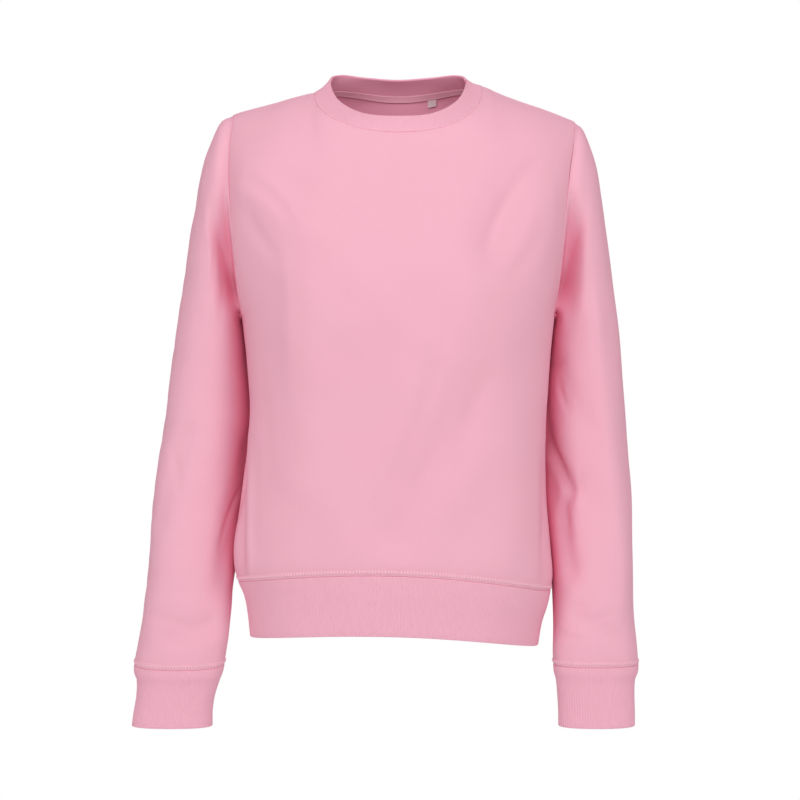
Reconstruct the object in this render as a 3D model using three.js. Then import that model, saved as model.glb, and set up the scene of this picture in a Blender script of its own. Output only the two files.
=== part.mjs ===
// A women's crewneck sweatshirt in brushed fleece, filled out as it is when it is worn, with nothing inside it.
// Every piece is a wall of knitted cloth: front, back, two sleeves, a rib collar, a rib hem band, two rib
// cuffs, the tape inside the back neck and a blank size label. The body and the sleeves are lofted through
// sections, and neighbouring pieces share their seams' curves, each drawn back from them by half a gap.
// Sizes are in millimetres. +Z is up, -Y is the front and +X is the wearer's left. The origin is midway between
// the two points where the shoulder seams meet the collar, which is where the garment hangs from the shoulders.

import * as THREE from "three";

// Cloth thickness. The rib bands are folded double.
const FLEECE = 1.6;
const RIB_BAND = 2.6;
const TAPE = 0.8;
const LABEL = 0.6;
const SEAM_GAP = 0.3;
const SAME_POINT = 0.01;
const LINING_GAP = 0.6;

// Neck and shoulders.
const NECK_HALF = 92;
const FRONT_NECK_DROP = 53;
const FRONT_NECK_FULLNESS = { right: 0.88, left: 0.66 }; // 1 is half an ellipse, less is fuller
const BACK_NECK_RISE = 2;
const BACK_NECK_WAVE = 5.5; // how far the back neckline rises again between its middle and the shoulders
const NECK_DOME = 36; // how far the shoulders' line would rise over the neck's middle
const FRONT_SHOULDER_ROUND = 75;
const BACK_SHOULDER_ROUND = 45;

// Armholes.
const UNDERARM_Z = -250;
const ARMHOLE_DEPTH = 0.42; // share of the body's depth that the armhole takes
const ARMHOLE_CURVE = 100; // height of the curved lower part

// Hem seam, which the front lifts and the body's stance tilts, and the band's edge below it.
const HEM_Z = -543;
const HEM_FRONT_RISE = 16;
const HEM_TILT = -0.03;
const BAND_EDGE_Z = -602;
const BAND_EDGE_RISE = 11;

const BODY_ROUNDNESS = 2.4; // exponent of the body's sections: 2 is an ellipse
const SLEEVE_ROUNDNESS = 2.3;

// Ribs of the knitted bands. Each raised rib stands for two of the 2.9 mm ribs.
const RIB_PITCH = 5.8;
const RIB_RISE = 0.5;

// How finely the pieces are divided.
const NECK_COLUMNS = 8;
const SHOULDER_COLUMNS = 6;
const ARMHOLE_ROWS = 13;
const SIDE_ROWS = 10;
const SLEEVE_ROWS = 22;
const HEM_ROWS = 2;
const CUFF_ROWS = 3;
const COLLAR_ROWS = 2;
const LABEL_ROWS = 2;

const SETTLING = 0.6; // how soon a panel's columns leave the spacing of its top edge

const HALF_COLUMNS = NECK_COLUMNS + SHOULDER_COLUMNS;
const NECK_SHARE = NECK_COLUMNS / HALF_COLUMNS;
const QUARTER = Math.PI / 2;

// Turns rows of numbers into records with the named columns.
function table(names, rows) {
  const keys = names.split(" ");
  return rows.map((row) => Object.fromEntries(keys.map((key, i) => [key, row[i]])));
}

// Heights of the two shoulder seams from the neck outwards.
const SHOULDERS = table("out right left", [
  [92, -1.5, 6],
  [112, -6.5, -3],
  [135, -13, -11.5],
  [160, -19.5, -20],
  [176, -24, -26],
  [196, -31, -34],
]);

// The body's sections from the neck down to the hem seam: half widths of the two sides, and how far the
// front, the back and the side line lie from the frame's middle plane.
const BODY = table("z right left front back side", [
  [40, 178, 190, -56, 44, 6],
  [0, 180, 193, -68, 61, 5],
  [-36, 181, 194, -76, 74, 5],
  [-60, 183.5, 192, -84, 84, 5],
  [-92, 184, 187, -97, 95, 5],
  [-130, 182, 183, -111, 103, 4],
  [-190, 176, 176.5, -125, 107, 0],
  [-250, 171, 170.5, -126, 104, -5],
  [-301, 165.5, 166, -121, 97, -9],
  [-362, 162, 162, -116, 91, -12],
  [-430, 169.5, 162, -113, 90, -12],
  [-494, 177.5, 166, -113, 93, -11],
  [-526, 178.5, 169, -115, 97, -10],
  [-543, 175, 167, -113, 95, -10],
]);

// The hem band's sections, by share of its height.
const HEM_BAND = table("down right left front back side", [
  [0, 175, 167, -113, 95, -10],
  [0.28, 168, 163.5, -111, 93, -9],
  [0.6, 164.5, 157.5, -108, 91, -8],
  [1, 162, 153.5, -105, 89, -8],
]);

// The sleeves' rings, from the armhole to the cuff's edge. A ring runs through an outer point, an inner point
// and its foremost and hindmost depths, and its front may sag below them. Lean is how far the ring's inner side
// is carried back, behind the body's side. The cuff begins at station 12.
const CUFF_STATION = 12;
const SLEEVE_COLUMNS =
  "station outer_right outer_left outer_z inner_right inner_left inner_z front back lean sag_right sag_left";
const SLEEVE = table(SLEEVE_COLUMNS, [
  [0, 183, 193, -33, 171, 170.5, -250, -46, 46, 0, 0, 0],
  [1, 197, 202, -41, 172.6, 172.1, -247, -48, 49, 0, 0, 0],
  [2, 208, 211, -62, 172.8, 172.4, -248.5, -50, 54, 5, 0, 0],
  [3, 216.5, 219, -88, 171, 170.8, -255, -52, 60, 18, 0, 0],
  [4, 224, 226.5, -130, 168, 168, -268, -53, 66, 29, 0, 0],
  [5, 232, 233, -180, 165.2, 165.2, -290, -52, 70, 32, 0, 0],
  [6, 240, 239.5, -234, 162.3, 162.3, -320, -49, 70, 30, 0, 0],
  [7, 249, 246.5, -302, 160.6, 159.8, -365, -45, 64, 28, 0, 0],
  [8, 259, 251.5, -380, 165.6, 159.8, -415, -44, 56, 25, 0, 0],
  [9, 268, 256, -445, 173.2, 162.6, -462, -46, 46, 20, 0, 0],
  [10, 273, 257.5, -510, 179, 167.9, -515, -50, 34, 14, 0, 0],
  [11, 278, 258, -570, 183.3, 169.7, -570, -52, 22, 7, 2, 1],
  [12, 288, 262.5, -628, 189.5, 169.5, -628, -50, 8, 0, 5, 2],
  [13, 285, 258.5, -645, 194.5, 172.5, -645, -47, 3, 0, 4.5, 2],
  [14, 285.5, 258, -662, 200, 174, -662, -45, 1, 0, 4, 2],
  [15, 288.5, 258.5, -680, 202.5, 175, -680, -44, 0, 0, 3, 1.5],
  [16, 290.5, 258.5, -694, 202.5, 175, -694, -44, 0, 0, 1.5, 1.5],
]);

// The collar's upper edge by angle round the neck: 0 is the front, 90 a side and 180 the back. The first and
// last rows mirror their neighbours, so that the edge runs level through the middles of the front and back.
// Proud is how far the middle of the collar's height bulges beyond a straight line.
const COLLAR_EDGE = table("angle across depth z proud", [
  [-30, -37.5, -62, -31, 1.2],
  [0, 0, -70.5, -35, 1.6],
  [30, 37.5, -62, -31, 1.2],
  [60, 65, -38, -14, -0.6],
  [90, 75, 2, 12, -2],
  [120, 65, 28, 20, -1.4],
  [150, 36, 41, 19, 0.4],
  [180, 0, 44, 17, 1],
  [210, -36, 41, 19, 0.4],
]);

const TAPE_WIDTH = 9;
const LABEL_LEFT = 33.5;
const LABEL_WIDTH = 10;
const LABEL_HEIGHT = 9;

// The largest folds of the body, as soft ridges (rise above 0) and troughs along lines on its front view.
const BODY_FOLDS = table("face x0 z0 x1 z1 width rise", [
  ["front", -168, -112, -92, -158, 24, 3.0],
  ["front", -150, -168, -132, -330, 24, -4.5],
  ["front", -98, -175, -92, -430, 32, 3.5],
  ["front", 136, -92, 98, -172, 26, -3.5],
  ["front", 112, -184, 140, -200, 24, -3.0],
  ["front", 158, -120, 150, -250, 22, 2.5],
  ["front", 74, -200, 82, -330, 30, 2.5],
  ["front", 40, -300, -48, -490, 26, 3.0],
  ["front", 84, -330, -2, -500, 28, -3.5],
  ["front", 128, -400, 120, -500, 24, 2.5],
  ["back", -120, -90, -60, -210, 30, 3.0],
  ["back", 118, -96, 64, -205, 28, 3.0],
  ["back", -4, -120, 6, -420, 34, -5.0],
  ["back", -96, -250, -60, -480, 30, 3.5],
  ["back", 104, -270, 78, -470, 28, 3.0],
  ["back", 134, -330, 150, -500, 22, -3.5],
  ["back", -136, -340, -120, -505, 24, -3.0],
]);

// The largest folds of the sleeves, by degrees round from the top by way of the front, and height.
const SLEEVE_FOLDS = table("arm angle0 z0 angle1 z1 width rise", [
  ["left", 150, -345, 95, -420, 15, -7.0],
  ["left", 120, -300, 80, -365, 15, -4.0],
  ["left", 135, -420, 115, -520, 16, -6.0],
  ["left", 60, -250, 50, -560, 18, 3.0],
  ["left", 100, -575, 60, -600, 12, -3.0],
  ["left", 250, -340, 200, -400, 15, -5.0],
  ["left", 300, -260, 290, -540, 20, 3.0],
  ["right", 95, -150, 85, -420, 20, 3.0],
  ["right", 140, -400, 120, -540, 18, -4.0],
  ["right", 110, -585, 70, -600, 12, -3.5],
  ["right", 60, -380, 40, -470, 16, -2.5],
  ["right", 245, -330, 200, -395, 15, -5.0],
  ["right", 300, -250, 285, -520, 20, 3.0],
]);

// Reads a column at a place on a smooth curve through a table's rows.
function read(rows, key, column, at) {
  const direction = Math.sign(rows[1][key] - rows[0][key]);
  let i = 0;
  while (i < rows.length - 2 && (at - rows[i + 1][key]) * direction > 0) i++;
  const slope = (a, b) => (rows[b][column] - rows[a][column]) / (rows[b][key] - rows[a][key]);
  const step = rows[i + 1][key] - rows[i][key];
  const t = THREE.MathUtils.clamp((at - rows[i][key]) / step, 0, 1);
  const first = slope(Math.max(i - 1, 0), i + 1) * step;
  const last = slope(i, Math.min(i + 2, rows.length - 1)) * step;
  const rise = rows[i + 1][column] - rows[i][column];
  return rows[i][column] + t * (first + t * (3 * rise - 2 * first - last + t * (first + last - 2 * rise)));
}

const smooth = (t) => THREE.MathUtils.smoothstep(t, 0, 1);
const lerp = THREE.MathUtils.lerp;
const sideOf = (x) => (x < 0 ? "right" : "left");

// How far a superellipse of unit size reaches on one axis, given its place on the other.
const arch = (share, power) => Math.pow(1 - Math.pow(Math.min(1, Math.abs(share)), power), 1 / power);

// The shoulder seam's height, carried on across the neck as a low dome.
function ridgeZ(x) {
  if (Math.abs(x) >= NECK_HALF) return read(SHOULDERS, "out", sideOf(x), Math.abs(x));
  const across = x / NECK_HALF;
  return lerp(SHOULDERS[0].right, SHOULDERS[0].left, (across + 1) / 2) + NECK_DOME * (1 - across * across);
}

// Share of the body's depth at the armhole's edge: none below the underarm.
function armholeShare(z) {
  const lowest = UNDERARM_Z + ARMHOLE_CURVE;
  return z > lowest ? ARMHOLE_DEPTH : ARMHOLE_DEPTH * arch((lowest - z) / ARMHOLE_CURVE, 2);
}

// Half width that a section would have if the armhole didn't cut it short.
function fullHalf(z, side) {
  return read(BODY, "z", side, z) / arch(armholeShare(z), BODY_ROUNDNESS);
}

// The depth of the front or back at a place on the front view.
function bodyDepth(face, x, z) {
  const round = face === "front" ? FRONT_SHOULDER_ROUND : BACK_SHOULDER_ROUND;
  const side = read(BODY, "z", "side", z);
  const shoulder = arch(1 - Math.min(1, Math.max(0, ridgeZ(x) - z) / round), 2);
  const across = arch(x / fullHalf(z, sideOf(x)), BODY_ROUNDNESS);
  return side + (read(BODY, "z", face, z) - side) * across * shoulder;
}

// A soft ridge or trough: the sum of the folds near a place, each fading away from its line.
function foldRise(folds, u, v, keys) {
  let sum = 0;
  for (const fold of folds) {
    const [u0, v0, u1, v1] = keys.map((key) => fold[key]);
    const along = ((u - u0) * (u1 - u0) + (v - v0) * (v1 - v0)) / ((u1 - u0) ** 2 + (v1 - v0) ** 2);
    const t = THREE.MathUtils.clamp(along, 0, 1);
    const away = Math.hypot(u - lerp(u0, u1, t), v - lerp(v0, v1, t)) / fold.width;
    sum += fold.rise * Math.exp(-away * away);
  }
  return sum;
}

// The upper edge of a body panel at a share across: neckline, then shoulder seam.
function panelTop(face, share) {
  const across = Math.abs(share);
  const sign = Math.sign(share);
  if (across <= NECK_SHARE) {
    const turn = (across / NECK_SHARE) * QUARTER;
    const x = sign * NECK_HALF * Math.sin(turn);
    const dropped = -FRONT_NECK_DROP * Math.pow(Math.cos(turn), FRONT_NECK_FULLNESS[sideOf(share)]);
    const raised = BACK_NECK_RISE * Math.cos(turn) ** 2 + BACK_NECK_WAVE * Math.sin(2 * turn) ** 2;
    return { x, z: (face === "front" ? dropped : raised) + ridgeZ(sign * NECK_HALF) * Math.sin(turn) ** 4 };
  }
  const end = read(BODY, "z", sideOf(share), -36);
  const x = sign * lerp(NECK_HALF, end, (across - NECK_SHARE) / (1 - NECK_SHARE));
  return { x, z: ridgeZ(x) };
}

// Height of the hem seam where the body's section has turned by an angle from its middle.
function hemZ(face, turn, x) {
  const frontness = face === "front" ? Math.cos(turn) ** 2 : 0;
  return HEM_Z + HEM_FRONT_RISE * frontness + HEM_TILT * x;
}

// One point of a body panel: share across from the wearer's right to left, and row from the top edge down.
function panelPoint(face, share, row) {
  const side = sideOf(share);
  if (row > ARMHOLE_ROWS) {
    const down = (row - ARMHOLE_ROWS) / SIDE_ROWS;
    const level = lerp(UNDERARM_Z, HEM_Z, down);
    const x = read(BODY, "z", side, level) * Math.sin(share * QUARTER);
    const z = lerp(UNDERARM_Z, hemZ(face, share * QUARTER, x), down);
    return new THREE.Vector3(x, bodyDepth(face, x, level), z);
  }
  const down = row / ARMHOLE_ROWS;
  const eased = lerp((1 - Math.cos(Math.PI * down)) / 2, down, 0.35 * down);
  const top = panelTop(face, share);
  const level = lerp(top.z, UNDERARM_Z, eased);
  const edge = Math.asin(arch(armholeShare(level), BODY_ROUNDNESS));
  const settled = Math.pow(down, SETTLING * (1 - Math.abs(share) ** 4));
  const x = row === 0 ? top.x : lerp(top.x, fullHalf(level, side) * Math.sin(edge * share), settled);
  const z = ridgeZ(x) - lerp(ridgeZ(top.x) - top.z, ridgeZ(x) - UNDERARM_Z, eased);
  return new THREE.Vector3(x, bodyDepth(face, x, z), z);
}

// Unit normals of a grid of points, facing away from the middle of each row.
function normalsOf(points, closed) {
  const columns = points[0].length;
  const at = (r, c) => points[r][closed ? (c + columns) % columns : THREE.MathUtils.clamp(c, 0, columns - 1)];
  const last = points.length - 1;
  const normals = points.map((row, r) =>
    row.map((_, c) => {
      const down = at(Math.min(r + 1, last), c).clone().sub(at(Math.max(r - 1, 0), c));
      return down.cross(at(r, c + 1).clone().sub(at(r, c - 1))).normalize();
    }),
  );
  let facing = 0;
  points.forEach((row, r) => {
    const middle = row.reduce((sum, p) => sum.add(p), new THREE.Vector3()).divideScalar(columns);
    row.forEach((p, c) => (facing += p.clone().sub(middle).dot(normals[r][c])));
  });
  if (facing < 0) normals.flat().forEach((n) => n.negate());
  return normals;
}

// Fades folds out towards a panel's seams.
function seamFade(share, row) {
  const rows = ARMHOLE_ROWS + SIDE_ROWS;
  return smooth((1 - Math.abs(share)) / 0.14) * smooth(row / 4) * smooth((rows - row) / 2);
}

function bodyPanel(face) {
  const points = [];
  for (let row = 0; row <= ARMHOLE_ROWS + SIDE_ROWS; row++) {
    points.push([]);
    for (let c = -HALF_COLUMNS; c <= HALF_COLUMNS; c++) {
      points[row].push(panelPoint(face, c / HALF_COLUMNS, row));
    }
  }
  const folds = BODY_FOLDS.filter((fold) => fold.face === face);
  const normals = normalsOf(points, false);
  points.forEach((row, r) =>
    row.forEach((p, c) => {
      const rise = foldRise(folds, p.x, p.z, ["x0", "z0", "x1", "z1"]);
      p.addScaledVector(normals[r][c], rise * seamFade(c / HALF_COLUMNS - 1, r));
    }),
  );
  return { points, closed: false, thickness: FLEECE };
}

// A body panel's edge along an armhole, from the shoulder down.
function armholeEdge(panel, arm) {
  const column = arm === "right" ? 0 : 2 * HALF_COLUMNS;
  return panel.points.slice(0, ARMHOLE_ROWS + 1).map((row) => row[column]);
}

// One point of a sleeve's or cuff's ring, by station down the sleeve and turn round from its top.
function ringPoint(arm, station, turn) {
  const value = (column) => read(SLEEVE, "station", column, station);
  const outer = new THREE.Vector2(value("outer_" + arm), value("outer_z"));
  const inner = new THREE.Vector2(value("inner_" + arm), value("inner_z"));
  const power = 2 / lerp(2, SLEEVE_ROUNDNESS, smooth((station - 5) / 5));
  const across = Math.sign(Math.cos(turn)) * Math.abs(Math.cos(turn)) ** power;
  const deep = Math.sign(Math.sin(turn)) * Math.abs(Math.sin(turn)) ** power;
  const place = outer.clone().lerp(inner, (1 - across) / 2);
  const sag = value("sag_" + arm) * Math.max(0, deep);
  const depth = lerp(value("front"), value("back"), (1 - deep) / 2) + (value("lean") * (1 - across)) / 2;
  return new THREE.Vector3((arm === "right" ? -1 : 1) * place.x, depth, place.y - sag);
}

const RING_COLUMNS = 2 * ARMHOLE_ROWS;
const ARMHOLE_FADE = 7; // stations over which the armhole's own outline gives way to the sleeve's
const ARMPIT_DIP = 5; // how deep the sleeve dives in beside the panels, above the underarm
const ARMPIT_TOP_Z = -96;
const ARMPIT_RUN = 60; // height over which the dip deepens
const UNDERARM_TURN = 1; // how far round from the underarm the dip ends

// How far a sleeve's rows beside the armhole sink into the crease that the hanging arm makes there.
function armpitDip(row, turn, seamZ) {
  const beside = smooth(row) * (1 - smooth((row - 1) / 2));
  const low = smooth((ARMPIT_TOP_Z - seamZ) / ARMPIT_RUN);
  return ARMPIT_DIP * beside * low * smooth(Math.abs(turn - Math.PI) / UNDERARM_TURN);
}

function sleeve(arm, front, back) {
  const armhole = [...armholeEdge(front, arm), ...armholeEdge(back, arm).reverse().slice(1, -1)];
  const folds = SLEEVE_FOLDS.filter((fold) => fold.arm === arm);
  const points = [];
  const turns = armhole.map((_, c) => (c / RING_COLUMNS) * 2 * Math.PI);
  const drift = armhole.map((p, c) => p.clone().sub(ringPoint(arm, 0, turns[c])));
  for (let row = 0; row <= SLEEVE_ROWS; row++) {
    const station = CUFF_STATION * Math.pow(row / SLEEVE_ROWS, 0.92);
    const left = 1 - smooth(station / ARMHOLE_FADE);
    points.push(turns.map((turn, c) => ringPoint(arm, station, turn).addScaledVector(drift[c], left)));
  }
  const normals = normalsOf(points, true);
  points.forEach((row, r) =>
    row.forEach((p, c) => {
      const round = THREE.MathUtils.radToDeg(turns[c]);
      const rise = foldRise(folds, round * 0.9, p.z, ["angle0", "z0", "angle1", "z1"]);
      const dip = armpitDip(r, turns[c], armhole[c].z);
      p.addScaledVector(normals[r][c], rise * smooth(r / 4) * smooth((SLEEVE_ROWS - r) / 2) - dip);
    }),
  );
  return { points, closed: true, thickness: FLEECE };
}

function cuff(arm, sleevePiece) {
  const points = [sleevePiece.points[SLEEVE_ROWS].map((p) => p.clone())];
  const last = SLEEVE[SLEEVE.length - 1].station;
  for (let row = 1; row <= CUFF_ROWS; row++) {
    const station = lerp(CUFF_STATION, last, row / CUFF_ROWS);
    points.push(points[0].map((_, c) => ringPoint(arm, station, (c / RING_COLUMNS) * 2 * Math.PI)));
  }
  return { points, closed: true, thickness: RIB_BAND, ribbed: true };
}

// The loop round the front's edge and back along the back's, in one of their rows or part of one.
function loopOf(front, back, row, first, last) {
  const there = front.points[row].slice(first, last + 1);
  const andBack = back.points[row].slice(first + 1, last).reverse();
  return [...there, ...andBack].map((p) => p.clone());
}

function hemBand(front, back) {
  const loop = loopOf(front, back, ARMHOLE_ROWS + SIDE_ROWS, 0, 2 * HALF_COLUMNS);
  const points = [loop];
  for (let row = 1; row <= HEM_ROWS; row++) {
    const down = row / HEM_ROWS;
    points.push(
      loop.map((seam, c) => {
        const face = c <= 2 * HALF_COLUMNS ? "front" : "back";
        const share = face === "front" ? c / HALF_COLUMNS - 1 : 3 - c / HALF_COLUMNS;
        const turn = share * QUARTER;
        const section = (column) => read(HEM_BAND, "down", column, down);
        const x = section(sideOf(share)) * Math.sin(turn);
        const depth = lerp(section("side"), section(face), arch(Math.sin(turn), BODY_ROUNDNESS));
        const lift = face === "front" ? BAND_EDGE_RISE * Math.cos(turn) ** 2 : 0;
        return new THREE.Vector3(x, depth, lerp(seam.z, BAND_EDGE_Z + lift + HEM_TILT * x, down));
      }),
    );
  }
  return { points, closed: true, thickness: RIB_BAND, ribbed: true };
}

function collar(front, back) {
  const loop = loopOf(front, back, 0, SHOULDER_COLUMNS, SHOULDER_COLUMNS + 2 * NECK_COLUMNS);
  const edge = loop.map((_, c) => {
    const turned = ((c / NECK_COLUMNS - 1) * 90 + 360) % 360;
    const angle = turned > 180 ? 360 - turned : turned;
    const value = (column) => read(COLLAR_EDGE, "angle", column, angle);
    const point = new THREE.Vector3((turned > 180 ? -1 : 1) * value("across"), value("depth"), value("z"));
    return { point, proud: value("proud") };
  });
  const middle = edge.reduce((sum, { point }) => sum.add(point), new THREE.Vector3()).divideScalar(edge.length);
  const points = [];
  for (let row = 0; row <= COLLAR_ROWS; row++) {
    const up = 1 - row / COLLAR_ROWS;
    points.push(
      loop.map((seam, c) => {
        const outward = seam.clone().sub(middle).normalize();
        const proud = edge[c].proud * 4 * up * (1 - up);
        return seam.clone().lerp(edge[c].point, up).addScaledVector(outward, proud);
      }),
    );
  }
  return { points, closed: true, thickness: RIB_BAND, ribbed: true };
}

// Gives the points that pieces share at a seam one normal, the mean of theirs.
function weldNormals(pieces) {
  const spots = [];
  for (const piece of pieces) {
    piece.normals = normalsOf(piece.points, piece.closed);
    piece.points.forEach((row, r) => row.forEach((point, c) => spots.push({ point, normal: piece.normals[r][c] })));
  }
  spots.sort((a, b) => a.point.x - b.point.x);
  spots.forEach((spot, i) => {
    if (spot.welded) return;
    const shared = [];
    for (let k = i; k < spots.length && spots[k].point.x - spot.point.x < SAME_POINT; k++) {
      if (spots[k].point.distanceTo(spot.point) < SAME_POINT) shared.push(spots[k]);
    }
    const mean = shared.reduce((sum, { normal }) => sum.add(normal), new THREE.Vector3()).normalize();
    for (const one of shared) {
      one.normal.copy(mean);
      one.welded = true;
    }
  });
}

// Draws a closed seam's points back into the cloth, square to the seam, so that half a gap opens.
function drawBack(seam) {
  const count = seam.length;
  const unit = (from, to) => seam[to % count].point.clone().sub(seam[from % count].point).normalize();
  const ways = seam.map((spot, i) => {
    const along = unit(i + count - 1, i).add(unit(i, i + 1));
    const sharpness = Math.max(0.5, along.length() / 2);
    return along.cross(spot.normal).setLength(SEAM_GAP / 2 / sharpness);
  });
  const facing = ways.reduce((sum, way, i) => sum + Math.sign(way.dot(seam[i].inward)), 0);
  seam.forEach((spot, i) => spot.point.addScaledVector(ways[i], Math.sign(facing)));
}

// Draws back all the seams of a piece: two loops for a tube, or one round the four sides of a panel.
function drawBackFromSeams({ points, normals, closed }) {
  const last = points.length - 1;
  const end = points[0].length - 1;
  const middle = Math.round(end / 2);
  const spot = (r, c) => {
    const within = points[THREE.MathUtils.clamp(r, 1, last - 1)][closed ? c : middle];
    return { point: points[r][c], normal: normals[r][c], inward: within.clone().sub(points[r][c]) };
  };
  const alongRow = (r) => points[r].map((_, c) => spot(r, c));
  const downColumn = (c) => points.map((_, r) => spot(r, c)).slice(1, -1);
  const top = alongRow(0);
  const bottom = alongRow(last);
  const round = [...top, ...downColumn(end), ...bottom.toReversed(), ...downColumn(0).toReversed()];
  const seams = closed ? [top, bottom] : [round];
  seams.forEach(drawBack);
}

// The outer and inner faces of a piece. A ribbed band's outer face has two columns for each rib.
function facesOf(piece) {
  const { points, normals, closed, thickness } = piece;
  drawBackFromSeams(piece);
  const plain = points[0].map((_, c) => c);
  const inner = points.map((row, r) => row.map((p, c) => p.clone().addScaledVector(normals[r][c], -thickness)));
  if (!piece.ribbed) return { outer: { points, at: plain }, inner: { points: inner, at: plain } };
  const columns = plain.length;
  const length = points[0].reduce((sum, p, c) => sum + p.distanceTo(points[0][(c + 1) % columns]), 0);
  const count = 2 * Math.round(length / RIB_PITCH);
  const at = Array.from({ length: count }, (_, i) => (i / count) * columns);
  const outer = points.map((row, r) =>
    at.map((place, i) => {
      const c = Math.floor(place);
      const next = (c + 1) % columns;
      const normal = normals[r][c].clone().lerp(normals[r][next], place - c).normalize();
      return row[c].clone().lerp(row[next], place - c).addScaledVector(normal, (i % 2) * RIB_RISE);
    }),
  );
  return { outer: { points: outer, at }, inner: { points: inner, at: plain } };
}

// Closes the strip between two edges whose points lie at different places along it.
function zip(triangles, a, placesA, b, placesB, reversed) {
  let i = 0;
  let k = 0;
  while (i < a.length - 1 || k < b.length - 1) {
    const stepA = k >= b.length - 1 || (i < a.length - 1 && placesA[i + 1] <= placesB[k + 1]);
    const triangle = stepA ? [a[i], a[i + 1], b[k]] : [a[i], b[k + 1], b[k]];
    triangles.push(...(reversed ? triangle.reverse() : triangle));
    if (stepA) i++;
    else k++;
  }
}

// A closed skin round the outer and the inner face of a wall.
function skin({ outer, inner }, closed, period) {
  const positions = [];
  const number = (face) =>
    face.points.map((row) => {
      const numbered = row.map((p) => positions.push(p.x, p.y, p.z) / 3 - 1);
      return closed ? [...numbered, numbered[0]] : numbered;
    });
  const [out, back] = [number(outer), number(inner)];
  const places = [outer.at, inner.at].map((at) => (closed ? [...at, period] : at));
  const triangles = [];
  const last = out.length - 1;
  for (const face of [out, back]) {
    for (let r = 0; r < last; r++) {
      for (let c = 0; c < face[r].length - 1; c++) {
        const [p, q, s, t] = [face[r][c], face[r][c + 1], face[r + 1][c], face[r + 1][c + 1]];
        triangles.push(...(face === out ? [p, s, t, p, t, q] : [p, t, s, p, q, t]));
      }
    }
  }
  zip(triangles, out[0], places[0], back[0], places[1], false);
  zip(triangles, out[last], places[0], back[last], places[1], true);
  if (!closed) {
    const end = out[0].length - 1;
    for (let r = 0; r < last; r++) {
      triangles.push(out[r + 1][0], out[r][0], back[r][0], out[r + 1][0], back[r][0], back[r + 1][0]);
      triangles.push(out[r][end], out[r + 1][end], back[r][end]);
      triangles.push(out[r + 1][end], back[r + 1][end], back[r][end]);
    }
  }
  return facingOut(positions, triangles);
}

// The triangles as a geometry, turned round if the volume that they hold comes out negative.
function facingOut(positions, triangles) {
  const corner = (i) => new THREE.Vector3().fromArray(positions, triangles[i] * 3);
  let volume = 0;
  for (let i = 0; i < triangles.length; i += 3) volume += corner(i).dot(corner(i + 1).cross(corner(i + 2)));
  const geometry = new THREE.BufferGeometry();
  geometry.setAttribute("position", new THREE.Float32BufferAttribute(positions, 3));
  geometry.setIndex(volume < 0 ? triangles.reverse() : triangles);
  geometry.computeVertexNormals();
  return geometry;
}

// A patch that lies on the back panel's inside: its points are the panel's, moved inwards.
function liningPatch(points, normals, thickness) {
  const sunk = (p, normal, by) => p.clone().addScaledVector(normal, -by);
  const moved = (by) => points.map((row, r) => row.map((p, c) => sunk(p, normals[r][c], by)));
  const at = points[0].map((_, c) => c);
  const clear = FLEECE + LINING_GAP;
  return { outer: { points: moved(clear), at }, inner: { points: moved(clear + thickness), at } };
}

// Places along a panel's column, a distance below its top edge, on the panel's own facets.
function spotBelowTop(back, column, distance) {
  let left = distance;
  let r = 0;
  const step = () => back.points[r][column].distanceTo(back.points[r + 1][column]);
  while (left > step()) {
    left -= step();
    r++;
  }
  const t = left / step();
  return {
    point: back.points[r][column].clone().lerp(back.points[r + 1][column], t),
    normal: back.normals[r][column].clone().lerp(back.normals[r + 1][column], t),
  };
}

function neckTape(back) {
  const spots = [SEAM_GAP, TAPE_WIDTH / 2, TAPE_WIDTH].map((distance) => {
    const found = [];
    for (let c = SHOULDER_COLUMNS + 1; c < SHOULDER_COLUMNS + 2 * NECK_COLUMNS; c++) {
      found.push(spotBelowTop(back, c, distance));
    }
    return found;
  });
  const pick = (key) => spots.map((row) => row.map((spot) => spot[key]));
  return liningPatch(pick("point"), pick("normal"), TAPE);
}

// Between which two columns of the back panel's upper edge a distance across lies.
function columnAt(back, x) {
  const row = back.points[1];
  const c = row.findIndex((p) => p.x > x) - 1;
  return { c, t: (x - row[c].x) / (row[c + 1].x - row[c].x) };
}

function sizeLabel(back) {
  const points = [];
  const normals = [];
  for (let r = 0; r <= LABEL_ROWS; r++) {
    const distance = TAPE_WIDTH + SEAM_GAP + (r / LABEL_ROWS) * LABEL_HEIGHT;
    const row = [0, 0.5, 1].map((share) => {
      const { c, t } = columnAt(back, LABEL_LEFT + share * LABEL_WIDTH);
      const [near, far] = [spotBelowTop(back, c, distance), spotBelowTop(back, c + 1, distance)];
      return { point: near.point.lerp(far.point, t), normal: near.normal.lerp(far.normal, t).normalize() };
    });
    points.push(row.map((spot) => spot.point));
    normals.push(row.map((spot) => spot.normal));
  }
  return liningPatch(points, normals, LABEL);
}

const pink = { color: 0xeba9c0, roughness: 0.92, metalness: 0 };
const fleece = new THREE.MeshStandardMaterial(pink);
const rib = new THREE.MeshStandardMaterial({ ...pink, color: 0xe8a3bc });
const tape = new THREE.MeshStandardMaterial({ ...pink, color: 0xe3a0b7 });
const label = new THREE.MeshStandardMaterial({ color: 0xf3e6e9, roughness: 0.7, metalness: 0 });

function mesh(name, geometry, material) {
  const made = new THREE.Mesh(geometry, material);
  made.name = name;
  return made;
}

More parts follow.
